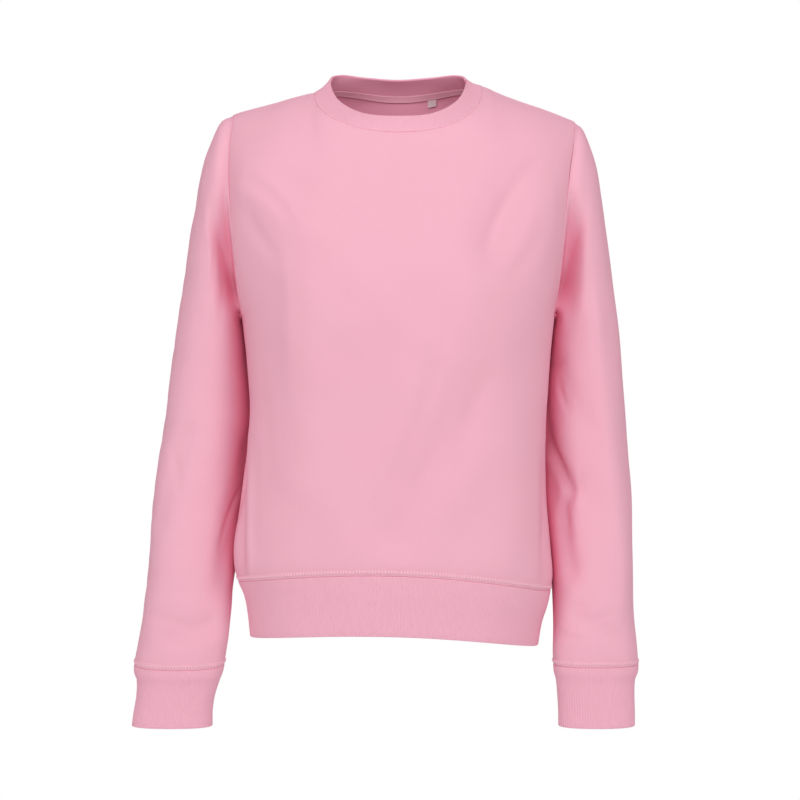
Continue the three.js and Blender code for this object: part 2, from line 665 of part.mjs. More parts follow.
function sweatshirt() {
  const front = bodyPanel("front");
  const back = bodyPanel("back");
  const sleeveRight = sleeve("right", front, back);
  const sleeveLeft = sleeve("left", front, back);
  const pieces = {
    front,
    back,
    sleeve_right: sleeveRight,
    sleeve_left: sleeveLeft,
    collar: collar(front, back),
    hem_band: hemBand(front, back),
    cuff_right: cuff("right", sleeveRight),
    cuff_left: cuff("left", sleeveLeft),
  };
  weldNormals(Object.values(pieces));
  const group = new THREE.Group();
  group.name = "crewneck_sweatshirt";
  for (const [name, piece] of Object.entries(pieces)) {
    const geometry = skin(facesOf(piece), piece.closed, piece.points[0].length);
    group.add(mesh(name, geometry, piece.ribbed ? rib : fleece));
  }
  group.add(mesh("neck_tape", skin(neckTape(back), false), tape));
  group.add(mesh("size_label", skin(sizeLabel(back), false), label));
  return group;
}

export default sweatshirt();
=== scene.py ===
"""A plain pink crewneck sweatshirt in brushed fleece, filled out as it is when it is worn.

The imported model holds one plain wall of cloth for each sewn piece. This script puts a finely divided shell in
the place of each, on the same sections and seam curves, and adds what the walls leave out: the smaller folds,
the ribs of the knitted bands, the rolled edges at the seams, the needle stitches and the knit of the cloth.

Lengths are millimetres until a mesh is made. +Z is up, -Y is the front and +X is the wearer's left.
"""

from __future__ import annotations

import logging
import math
from collections.abc import Callable
from dataclasses import dataclass, field
from enum import Enum

import bpy
import numpy as np
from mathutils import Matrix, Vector
from mathutils.kdtree import KDTree


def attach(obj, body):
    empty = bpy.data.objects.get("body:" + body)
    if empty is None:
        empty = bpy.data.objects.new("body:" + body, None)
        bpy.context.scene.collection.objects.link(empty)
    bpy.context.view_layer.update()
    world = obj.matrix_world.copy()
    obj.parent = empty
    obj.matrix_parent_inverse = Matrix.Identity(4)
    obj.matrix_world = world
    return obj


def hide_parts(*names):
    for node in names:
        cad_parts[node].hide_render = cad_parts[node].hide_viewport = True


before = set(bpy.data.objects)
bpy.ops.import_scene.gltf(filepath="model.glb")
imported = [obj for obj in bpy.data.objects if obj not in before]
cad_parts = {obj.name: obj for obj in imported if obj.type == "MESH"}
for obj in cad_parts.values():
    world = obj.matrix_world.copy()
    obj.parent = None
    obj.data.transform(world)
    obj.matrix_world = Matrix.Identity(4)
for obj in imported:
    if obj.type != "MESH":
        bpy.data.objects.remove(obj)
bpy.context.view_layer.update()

Points = np.ndarray
log = logging.getLogger("sweatshirt")

MM = 0.001
FLEECE = 1.6
RIB_BAND = 2.6
TAPE = 0.8
LABEL = 0.6
LINING_GAP = 0.6

NECK_HALF = 92.0
FRONT_NECK_DROP = 53.0
BACK_NECK_RISE = 2.0
BACK_NECK_WAVE = 5.5
NECK_DOME = 36.0
NECK_FULLNESS_RIGHT = 0.88
NECK_FULLNESS_LEFT = 0.66
SHOULDER_END_Z = -36.0
UNDERARM_Z = -250.0
ARMHOLE_DEPTH = 0.42
ARMHOLE_CURVE = 100.0
HEM_Z = -543.0
HEM_FRONT_RISE = 16.0
HEM_TILT = -0.03
BAND_EDGE_Z = -602.0
BAND_EDGE_RISE = 11.0
BODY_ROUNDNESS = 2.4
SLEEVE_ROUNDNESS = 2.3
SETTLING = 0.6
LEVEL_EASE = 0.35
NECK_SHARE = 8 / 14
CUFF_STATION = 12.0
LAST_STATION = 16.0
ARMHOLE_FADE = 7.0

# Distances from a seam at which the cloth is divided finely, and those of its two rows of needle stitches.
SEAM_ROWS = (0.0, 0.2, 0.45, 0.8, 1.2, 1.7, 2.2, 2.9, 3.8, 4.8, 5.6, 6.2, 6.8, 7.6, 9.0)
NEEDLE_ROWS = (1.8, 6.4)
NECK_ROW = 1.9
TAPE_ROWS = (0.9, 7.8)
THREAD_LIFT = 0.1

# The groove that a needle row pulls in, and the puff of cloth between two rows.
NEEDLE_DEPTH = 0.35
NEEDLE_WIDTH = 0.75
PUFF_RISE = 0.6
PUFF_WIDTH = 1.7

# How finely a surface is measured before its rows and columns are spaced along it.
MEASURED_ROWS = 700
MEASURED_COLUMNS = 4000
MEASURED_SEAM = 900

# A crease's lips stand out beside it, and it is about this share as deep at its ends.
CREASE_LIPS = 1.3
CREASE_ENDS = 0.35


class Face(Enum):
    """The two panels of the body, with how far each one's shoulder rounds over."""

    FRONT = 75.0
    BACK = 45.0


class Arm(Enum):
    """The wearer's arms, with the side of the frame that each is on."""

    RIGHT = -1
    LEFT = 1


class Table:
    """Rows of numbers with named columns, read between the rows along a smooth curve."""

    def __init__(self, names: str, rows: list[tuple[float, ...]]) -> None:
        """Keep the columns by name. The first one is the key that places are looked up by.

        Args:
            names: The columns' names, in order.
            rows: The rows, each with its key first.
        """
        values = np.array(rows, float)
        self.key = values[:, 0]
        self.columns = {name: values[:, i] for i, name in enumerate(names.split())}

    def read(self, column: str, at: Points | float) -> Points:
        """Read a column at places along the key.

        Args:
            column: The column's name.
            at: Places on the key, each clamped to the table's ends.

        Returns:
            The column's values there.
        """
        key, value = self.key, self.columns[column]
        way = np.sign(key[-1] - key[0])
        i = np.clip(np.searchsorted(way * key, way * np.asarray(at), side="right") - 1, 0, len(key) - 2)
        before, after = np.maximum(i - 1, 0), np.minimum(i + 2, len(key) - 1)
        step = key[i + 1] - key[i]
        t = np.clip((at - key[i]) / step, 0, 1)
        first = (value[i + 1] - value[before]) / (key[i + 1] - key[before]) * step
        last = (value[after] - value[i]) / (key[after] - key[i]) * step
        rise = value[i + 1] - value[i]
        return value[i] + t * (first + t * (3 * rise - 2 * first - last + t * (first + last - 2 * rise)))

    def read_sides(self, x: Points, at: Points) -> Points:
        """Read the column right where x is negative, and left elsewhere."""
        return np.where(x < 0, self.read("right", at), self.read("left", at))


SHOULDERS = Table(
    "out right left",
    [
        (92, -1.5, 6),
        (112, -6.5, -3),
        (135, -13, -11.5),
        (160, -19.5, -20),
        (176, -24, -26),
        (196, -31, -34),
    ],
)
BODY = Table(
    "z right left front back side",
    [
        (40, 178, 190, -56, 44, 6),
        (0, 180, 193, -68, 61, 5),
        (-36, 181, 194, -76, 74, 5),
        (-60, 183.5, 192, -84, 84, 5),
        (-92, 184, 187, -97, 95, 5),
        (-130, 182, 183, -111, 103, 4),
        (-190, 176, 176.5, -125, 107, 0),
        (-250, 171, 170.5, -126, 104, -5),
        (-301, 165.5, 166, -121, 97, -9),
        (-362, 162, 162, -116, 91, -12),
        (-430, 169.5, 162, -113, 90, -12),
        (-494, 177.5, 166, -113, 93, -11),
        (-526, 178.5, 169, -115, 97, -10),
        (-543, 175, 167, -113, 95, -10),
    ],
)
HEM_SECTIONS = Table(
    "down right left front back side",
    [
        (0, 175, 167, -113, 95, -10),
        (0.28, 168, 163.5, -111, 93, -9),
        (0.6, 164.5, 157.5, -108, 91, -8),
        (1, 162, 153.5, -105, 89, -8),
    ],
)
SLEEVE_RINGS = Table(
    "station outer_right outer_left outer_z inner_right inner_left inner_z "
    "front back lean sag_right sag_left",
    [
        (0, 183, 193, -33, 171, 170.5, -250, -46, 46, 0, 0, 0),
        (1, 197, 202, -41, 172.6, 172.1, -247, -48, 49, 0, 0, 0),
        (2, 208, 211, -62, 172.8, 172.4, -248.5, -50, 54, 5, 0, 0),
        (3, 216.5, 219, -88, 171, 170.8, -255, -52, 60, 18, 0, 0),
        (4, 224, 226.5, -130, 168, 168, -268, -53, 66, 29, 0, 0),
        (5, 232, 233, -180, 165.2, 165.2, -290, -52, 70, 32, 0, 0),
        (6, 240, 239.5, -234, 162.3, 162.3, -320, -49, 70, 30, 0, 0),
        (7, 249, 246.5, -302, 160.6, 159.8, -365, -45, 64, 28, 0, 0),
        (8, 259, 251.5, -380, 165.6, 159.8, -415, -44, 56, 25, 0, 0),
        (9, 268, 256, -445, 173.2, 162.6, -462, -46, 46, 20, 0, 0),
        (10, 273, 257.5, -510, 179, 167.9, -515, -50, 34, 14, 0, 0),
        (11, 278, 258, -570, 183.3, 169.7, -570, -52, 22, 7, 2, 1),
        (12, 288, 262.5, -628, 189.5, 169.5, -628, -50, 8, 0, 5, 2),
        (13, 285, 258.5, -645, 194.5, 172.5, -645, -47, 3, 0, 4.5, 2),
        (14, 285.5, 258, -662, 200, 174, -662, -45, 1, 0, 4, 2),
        (15, 288.5, 258.5, -680, 202.5, 175, -680, -44, 0, 0, 3, 1.5),
        (16, 290.5, 258.5, -694, 202.5, 175, -694, -44, 0, 0, 1.5, 1.5),
    ],
)
COLLAR_EDGE = Table(
    "angle across depth z proud",
    [
        (-30, -37.5, -62, -31, 1.2),
        (0, 0, -70.5, -35, 1.6),
        (30, 37.5, -62, -31, 1.2),
        (60, 65, -38, -14, -0.6),
        (90, 75, 2, 12, -2),
        (120, 65, 28, 20, -1.4),
        (150, 36, 41, 19, 0.4),
        (180, 0, 44, 17, 1),
        (210, -36, 41, 19, 0.4),
    ],
)


def smooth(t: Points | float) -> Points:
    """Ease from 0 to 1 with level ends."""
    t = np.clip(t, 0, 1)
    return t * t * (3 - 2 * t)


def arch(share: Points | float, power: float) -> Points:
    """How far a superellipse of unit size reaches on one axis, given its place on the other."""
    return np.power(1 - np.power(np.minimum(1, np.abs(share)), power), 1 / power)


def mix(a: Points | float, b: Points | float, t: Points | float) -> Points:
    """Go from a to b by share t."""
    return a + (b - a) * t


class FoldForm(Enum):
    """How a fold's height falls off beside its line."""

    SOFT = "soft"
    CREASE = "crease"


@dataclass(frozen=True)
class Fold:
    """A ridge, or where its rise is negative a trough, along a line on a piece's own coordinates.

    On a body panel the coordinates are x and z. On a sleeve they are about the millimetres round it, and z.
    """

    start: tuple[float, float]
    end: tuple[float, float]
    width: float
    rise: float
    form: FoldForm = FoldForm.SOFT
    bow: float = 0.0

    def height(self, u: Points, v: Points) -> Points:
        """Work out the fold's height at places on the piece.

        Args:
            u: The places' first coordinate.
            v: The places' second coordinate.

        Returns:
            The height there: above 0 it stands out.
        """
        (u0, v0), (u1, v1) = self.start, self.end
        run, drop = u1 - u0, v1 - v0
        along = ((u - u0) * run + (v - v0) * drop) / (run * run + drop * drop)
        t = np.clip(along, 0, 1)
        bent = self.bow * 4 * t * (1 - t)
        scale = math.hypot(run, drop)
        middle_u = u0 + run * t - bent * drop / scale
        middle_v = v0 + drop * t + bent * run / scale
        away = np.hypot(u - middle_u, v - middle_v) / self.width
        bell = np.exp(-away * away)
        if self.form is FoldForm.CREASE:
            lips = 1 - CREASE_LIPS * away * away
            ends = CREASE_ENDS + (1 - CREASE_ENDS) * smooth(4 * t * (1.02 - t))
            return self.rise * bell * lips * ends
        return self.rise * bell


def soft(u0: float, v0: float, u1: float, v1: float, width: float, rise: float) -> Fold:
    """A wide soft fold between two places."""
    return Fold((u0, v0), (u1, v1), width, rise)


def crease(u0: float, v0: float, u1: float, v1: float, width: float, rise: float, bow: float = 0) -> Fold:
    """A narrow crease between two places, with the cloth lifted beside it."""
    return Fold((u0, v0), (u1, v1), width, rise, FoldForm.CREASE, bow)


def fold_heights(folds: tuple[Fold, ...], u: Points, v: Points) -> tuple[Points, Points]:
    """Add up the heights of a piece's soft folds, and those of its creases.

    Args:
        folds: The piece's folds.
        u: The places' first coordinate.
        v: The places' second coordinate.

    Returns:
        The sum of the soft folds and that of the creases.
    """
    sums = {form: np.zeros_like(u) for form in FoldForm}
    for fold in folds:
        sums[fold.form] = sums[fold.form] + fold.height(u, v)
    return sums[FoldForm.SOFT], sums[FoldForm.CREASE]


@dataclass(frozen=True)
class Ripple:
    """Faint waves all over a piece, as no cloth hangs perfectly smooth."""

    height: float
    shortest: float
    longest: float
    seed: int
    waves: int = 9
    scatter: float = 0.6

    def at(self, u: Points, v: Points) -> Points:
        """Work out the waves' height at places on the piece.

        Args:
            u: The places' first coordinate.
            v: The places' second coordinate.

        Returns:
            The height there.
        """
        chance = np.random.default_rng(self.seed)
        total = np.zeros_like(u)
        for _ in range(self.waves):
            wave = chance.uniform(self.shortest, self.longest)
            turn = chance.normal(0.0, self.scatter)
            phase = chance.uniform(0, 2 * math.pi)
            total += np.sin((u * math.cos(turn) + v * math.sin(turn)) * 2 * math.pi / wave + phase)
        return self.height * total / math.sqrt(self.waves)


@dataclass(frozen=True)
class Gathers:
    """Small upright puckers along a seam, where a band draws the cloth in."""

    places: tuple[float, float, float]
    deepest: float
    widest: float
    reach: float
    seed: int
    shift: float = 4.0
    tallest: float = 0.4
    narrowest: float = 4.0
    clear: float = 9.0

    def at(self, along: Points, above: Points) -> Points:
        """Work out the puckers' height at places on the piece.

        Args:
            along: How far along the seam each place is.
            above: How far above the seam it is.

        Returns:
            The height there.
        """
        chance = np.random.default_rng(self.seed)
        near = smooth(above / self.clear) * (1 - smooth((above - self.clear) / self.reach))
        total = np.zeros_like(along)
        for middle in np.arange(*self.places):
            middle += chance.normal(0, self.shift)
            height = chance.uniform(-self.deepest, self.tallest)
            width = chance.uniform(self.narrowest, self.widest)
            total += height * np.exp(-(((along - middle) / width) ** 2))
        return total * near


def fade_in(distances: tuple[Points, ...], reaches: tuple[float, ...]) -> Points:
    """Let folds fade out towards a piece's edges.

    Args:
        distances: How far each place is from each edge.
        reaches: How far in the folds fade, by edge.

    Returns:
        The share that is left.
    """
    share = 1.0
    for distance, reach in zip(distances, reaches):
        share = share * smooth(distance / reach)
    return share


def ridge_z(x: Points) -> Points:
    """Height of the shoulder seams, carried on across the neck as a low dome.

    Args:
        x: Places across.

    Returns:
        The ridge's z.
    """
    across = np.clip(x / NECK_HALF, -1, 1)
    right, left = SHOULDERS.columns["right"][0], SHOULDERS.columns["left"][0]
    over_neck = mix(right, left, (across + 1) / 2) + NECK_DOME * (1 - across * across)
    return np.where(np.abs(x) < NECK_HALF, over_neck, SHOULDERS.read_sides(x, np.abs(x)))


def armhole_share(z: Points) -> Points:
    """Share of the body's depth at the armhole's edge: none below the underarm."""
    lowest = UNDERARM_Z + ARMHOLE_CURVE
    return ARMHOLE_DEPTH * arch(np.maximum(0, lowest - z) / ARMHOLE_CURVE, 2)


def full_half(z: Points, x: Points) -> Points:
    """Half width that a section would have if the armhole didn't cut it short."""
    return BODY.read_sides(x, z) / arch(armhole_share(z), BODY_ROUNDNESS)


def body_depth(face: Face, x: Points, z: Points) -> Points:
    """Depth of the front or back at places on the front view.

    Args:
        face: The panel.
        x: The places' x.
        z: The places' z.

    Returns:
        The places' y.
    """
    side = BODY.read("side", z)
    shoulder = arch(1 - np.clip((ridge_z(x) - z) / face.value, 0, 1), 2)
    across = arch(x / full_half(z, x), BODY_ROUNDNESS)
    return side + (BODY.read(face.name.lower(), z) - side) * across * shoulder


def panel_top(face: Face, share: Points) -> tuple[Points, Points]:
    """Upper edge of a body panel: neckline, then shoulder seam.

    Args:
        face: The panel.
        share: Places across, from -1 at the wearer's right to 1.

    Returns:
        The edge's x and z.
    """
    across, way = np.abs(share), np.sign(share)
    turn = np.clip(across / NECK_SHARE, 0, 1) * math.pi / 2
    if face is Face.FRONT:
        fullness = np.where(share < 0, NECK_FULLNESS_RIGHT, NECK_FULLNESS_LEFT)
        neck_z = -FRONT_NECK_DROP * np.power(np.maximum(np.cos(turn), 0), fullness)
    else:
        neck_z = BACK_NECK_RISE * np.cos(turn) ** 2 + BACK_NECK_WAVE * np.sin(2 * turn) ** 2
    neck_z = neck_z + ridge_z(np.where(share < 0, -NECK_HALF, NECK_HALF)) * np.sin(turn) ** 4
    end = BODY.read_sides(share, np.full_like(share, SHOULDER_END_Z))
    shoulder_x = way * mix(NECK_HALF, end, np.clip((across - NECK_SHARE) / (1 - NECK_SHARE), 0, 1))
    on_neck = across <= NECK_SHARE
    x = np.where(on_neck, way * NECK_HALF * np.sin(turn), shoulder_x)
    return x, np.where(on_neck, neck_z, ridge_z(shoulder_x))


def panel_points(face: Face, share: Points, down: Points) -> Points:
    """Points of a body panel before its folds.

    Args:
        face: The panel.
        share: Places across, from -1 at the wearer's right to 1.
        down: Places down: 0 to 1 from the top edge to the underarm, 1 to 2 from there to the hem seam.

    Returns:
        An array of points.
    """
    share, down = np.broadcast_arrays(np.asarray(share, float), np.asarray(down, float))
    upper = np.clip(down, 0, 1)
    eased = mix((1 - np.cos(math.pi * upper)) / 2, upper, LEVEL_EASE * upper)
    top_x, top_z = panel_top(face, share)
    level = mix(top_z, UNDERARM_Z, eased)
    edge = np.arcsin(arch(armhole_share(level), BODY_ROUNDNESS))
    settled = np.power(upper, SETTLING * (1 - np.abs(share) ** 4))
    x = np.where(upper == 0, top_x, mix(top_x, full_half(level, share) * np.sin(edge * share), settled))
    z = ridge_z(x) - mix(ridge_z(top_x) - top_z, ridge_z(x) - UNDERARM_Z, eased)
    high = np.stack([x, body_depth(face, x, z), z], -1)

    lower = np.clip(down - 1, 0, 1)
    level = mix(UNDERARM_Z, HEM_Z, lower)
    x = BODY.read_sides(share, level) * np.sin(share * math.pi / 2)
    lift = HEM_FRONT_RISE * np.cos(share * math.pi / 2) ** 2 if face is Face.FRONT else 0
    z = mix(UNDERARM_Z, HEM_Z + lift + HEM_TILT * x, lower)
    low = np.stack([x, body_depth(face, x, level), z], -1)
    return np.where((down <= 1)[..., None], high, low)


def armhole_points(arm: Arm, turn: Points) -> Points:
    """Points of an armhole's edge.

    Args:
        arm: The arm.
        turn: Angle round it, from the top by way of the front.

    Returns:
        An array of points.
    """
    in_front = turn <= math.pi
    down = np.where(in_front, turn, 2 * math.pi - turn) / math.pi
    share = np.full_like(turn, arm.value, dtype=float)
    front, back = (panel_points(face, share, down) for face in Face)
    return np.where(in_front[..., None], front, back)


def ring_points(arm: Arm, station: Points, turn: Points) -> Points:
    """Points of a sleeve's or cuff's rings.

    Args:
        arm: The sleeve.
        station: Places down the sleeve, by the rows of its table.
        turn: Angle round the ring, from its top by way of the front.

    Returns:
        An array of points.
    """
    side = arm.name.lower()
    station, turn = np.broadcast_arrays(np.asarray(station, float), np.asarray(turn, float))
    power = 2 / mix(2, SLEEVE_ROUNDNESS, smooth((station - 5) / 5))
    across = np.sign(np.cos(turn)) * np.abs(np.cos(turn)) ** power
    deep = np.sign(np.sin(turn)) * np.abs(np.sin(turn)) ** power
    read = SLEEVE_RINGS.read
    x = mix(read("outer_" + side, station), read("inner_" + side, station), (1 - across) / 2)
    z = mix(read("outer_z", station), read("inner_z", station), (1 - across) / 2)
    y = mix(read("front", station), read("back", station), (1 - deep) / 2)
    y = y + read("lean", station) * (1 - across) / 2
    sag = read("sag_" + side, station) * np.maximum(0, deep)
    return np.stack([arm.value * x, y, z - sag], -1)


def sleeve_points(arm: Arm, station: Points, turn: Points) -> Points:
    """Points of a sleeve before its folds: its rings, drawn at the top to the armhole's own outline.

    Args:
        arm: The arm.
        station: Places down the sleeve, by the rows of its table.
        turn: Angle round it, from the top by way of the front.

    Returns:
        An array of points.
    """
    station, turn = np.broadcast_arrays(np.asarray(station, float), np.asarray(turn, float))
    drift = armhole_points(arm, turn) - ring_points(arm, np.zeros_like(turn), turn)
    left = 1 - smooth(station / ARMHOLE_FADE)
    return ring_points(arm, station, turn) + drift * left[..., None]


def split_loop(loop: Points) -> tuple[Points, Points]:
    """Places on a loop round the body, from 0 to 4, as share across and whether they are in front."""
    in_front = loop <= 2
    return np.where(in_front, loop - 1, 3 - loop), in_front


def seam_points(loop: Points, down: float, reach: float) -> Points:
    """Points of the seam that runs round both panels.

    Args:
        loop: Places round it, from 0 to 4.
        down: Where the seam is on the panels: 0 is their top edge and 2 the hem.
        reach: The share across that the loop goes out to on each side.

    Returns:
        An array of points.
    """
    share, in_front = split_loop(loop)
    front, back = (panel_points(face, share * reach, np.full_like(share, down)) for face in Face)
    return np.where(in_front[..., None], front, back)


def hem_points(loop: Points, down: Points) -> Points:
    """Points of the hem band before its ribs.

    Args:
        loop: Places round it, from 0 to 4.
        down: Share of the way down, from 0 at the seam to 1 at the free edge.

    Returns:
        An array of points.
    """
    loop, down = np.broadcast_arrays(np.asarray(loop, float), np.asarray(down, float))
    seam = seam_points(loop, 2, 1)
    share, in_front = split_loop(loop)
    turn = share * math.pi / 2
    x = HEM_SECTIONS.read_sides(share, down) * np.sin(turn)
    side = HEM_SECTIONS.read("side", down)
    deep = np.where(in_front, HEM_SECTIONS.read("front", down), HEM_SECTIONS.read("back", down))
    y = mix(side, deep, arch(np.sin(turn), BODY_ROUNDNESS))
    lift = np.where(in_front, BAND_EDGE_RISE * np.cos(turn) ** 2, 0)
    z = mix(seam[..., 2], BAND_EDGE_Z + lift + HEM_TILT * x, down)
    return np.where((down == 0)[..., None], seam, np.stack([x, y, z], -1))


def collar_points(loop: Points, down: Points) -> Points:
    """Points of the collar before its ribs.

    Args:
        loop: Places round it, from 0 to 4.
        down: Share of the way down, from 0 at the free edge to 1 at the seam.

    Returns:
        An array of points.
    """
    loop, down = np.broadcast_arrays(np.asarray(loop, float), np.asarray(down, float))
    seam = seam_points(loop, 0, NECK_SHARE)
    turned = ((loop - 1) * 90 + 360) % 360
    angle = np.where(turned > 180, 360 - turned, turned)
    across = np.where(turned > 180, -1, 1) * COLLAR_EDGE.read("across", angle)
    edge = np.stack([across, COLLAR_EDGE.read("depth", angle), COLLAR_EDGE.read("z", angle)], -1)
    outward = seam - edge.reshape(-1, 3).mean(0)
    outward /= np.linalg.norm(outward, axis=-1, keepdims=True)
    up = 1 - down
    proud = COLLAR_EDGE.read("proud", angle) * 4 * up * (1 - up)
    return mix(seam, edge, up[..., None]) + outward * proud[..., None]


Surface = Callable[[Points, Points], Points]


def even_rows(surface: Surface, columns: Points, ends: tuple[float, float], places: Points) -> Points:
    """Find where evenly measured rows fall on a surface's columns.

    Args:
        surface: Gives points for a place across and a place down.
        columns: The places across.
        ends: The first and last place down.
        places: Where the rows lie, as share of each column's length.

    Returns:
        The place down of each row and column.
    """
    fine = mix(ends[0], ends[1], np.linspace(0, 1, MEASURED_ROWS) ** 1.5)[:, None]
    points = surface(np.broadcast_to(columns, (len(fine), len(columns))), fine)
    steps = np.linalg.norm(np.diff(points, axis=0), axis=-1)
    length = np.vstack([np.zeros(len(columns)), np.cumsum(steps, axis=0)])
    found = [np.interp(places * length[-1, c], length[:, c], fine[:, 0]) for c in range(len(columns))]
    return np.stack(found, -1)


def even_columns(curve: Callable[[Points], Points], span: float, count: int) -> Points:
    """Places round a closed curve that lie evenly along it.

    Args:
        curve: Gives points for places round it.
        span: The last place, where it closes.
        count: How many places to find.

    Returns:
        The places.
    """
    fine = np.linspace(0, span, MEASURED_COLUMNS)
    points = curve(fine)
    length = np.concatenate([[0], np.cumsum(np.linalg.norm(np.diff(points, axis=0), axis=-1))])
    return np.interp(np.arange(count) / count * length[-1], length, fine)


def places_with_fine_ends(count: int, length: float, first: bool = True, last: bool = True) -> Points:
    """Places from 0 to 1 that crowd together at the seams, where the edges roll in and are sewn.

    Args:
        count: How many places lie between the ends' own.
        length: The length that they run along.
        first: Whether the first end is a seam.
        last: Whether the last end is.

    Returns:
        The places, as share of the length.
    """
    edge = np.array(SEAM_ROWS) / length
    start = edge if first else np.array([0.0])
    end = 1 - edge[::-1] if last else np.array([1.0])
    middle = np.linspace(start[-1], end[0], count + 2)[1:-1]
    return np.concatenate([start, middle, end])


def grid_normals(points: Points, closed: bool, facing: Points | None = None) -> Points:
    """Unit normals of a grid of points, facing a given way or else away from the middle of each row.

    Args:
        points: The grid.
        closed: Whether the grid's rows run all round.
        facing: The way to face at each point, if given.

    Returns:
        A unit normal for each point.
    """
    if closed:
        wide = np.concatenate([points[:, -1:], points, points[:, :1]], 1)
        across = wide[:, 2:] - wide[:, :-2]
    else:
        across = np.gradient(points, axis=1)
    down = np.gradient(points, axis=0)
    normals = np.cross(down, across)
    normals /= np.maximum(np.linalg.norm(normals, axis=-1, keepdims=True), 1e-9)
    outward = points - points.mean(1, keepdims=True) if facing is None else facing
    return normals if (outward * normals).sum() > 0 else -normals


def lengths(points: Points, axis: int) -> Points:
    """Distance along a grid from its first row or column.

    Args:
        points: The grid.
        axis: 0 to measure down it, 1 across.

    Returns:
        The distance of each point.
    """
    steps = np.linalg.norm(np.diff(points, axis=axis), axis=-1)
    zero = np.zeros_like(np.take(steps, [0], axis=axis))
    return np.concatenate([zero, np.cumsum(steps, axis=axis)], axis=axis)


@dataclass
class Edges:
    """Which edges of a grid are sewn, and so roll in, and which are folded and free."""

    roll: float = 0.95
    reach: float = 1.5
    top: bool = True
    bottom: bool = True
    sides: bool = True

    def depth(self, points: Points, closed: bool) -> Points:
        """How deep each point sinks where the edges roll in at the seams.

        Args:
            points: The grid.
            closed: Whether the grid's rows run all round.

        Returns:
            How deep each point sinks.
        """
        rows, columns = lengths(points, 0), lengths(points, 1)
        distance = np.full(points.shape[:2], 1e6)
        if self.top:
            distance = np.minimum(distance, rows)
        if self.bottom:
            distance = np.minimum(distance, rows[-1:] - rows)
        if self.sides and not closed:
            distance = np.minimum(distance, np.minimum(columns, columns[:, -1:] - columns))
        near = np.clip(1 - distance / self.reach, 0, 1)
        return self.roll * (1 - np.sqrt(1 - near * near))


def needle_groove(distance: Points) -> Points:
    """How the two needle rows pull the cloth in, and how it puffs between them.

    Args:
        distance: How far each point is from the seam.

    Returns:
        The height there, which is negative in the groove.
    """
    rows = sum(np.exp(-(((distance - row) / NEEDLE_WIDTH) ** 2)) for row in NEEDLE_ROWS)
    between = np.exp(-(((distance - sum(NEEDLE_ROWS) / 2) / PUFF_WIDTH) ** 2))
    return PUFF_RISE * between - NEEDLE_DEPTH * rows


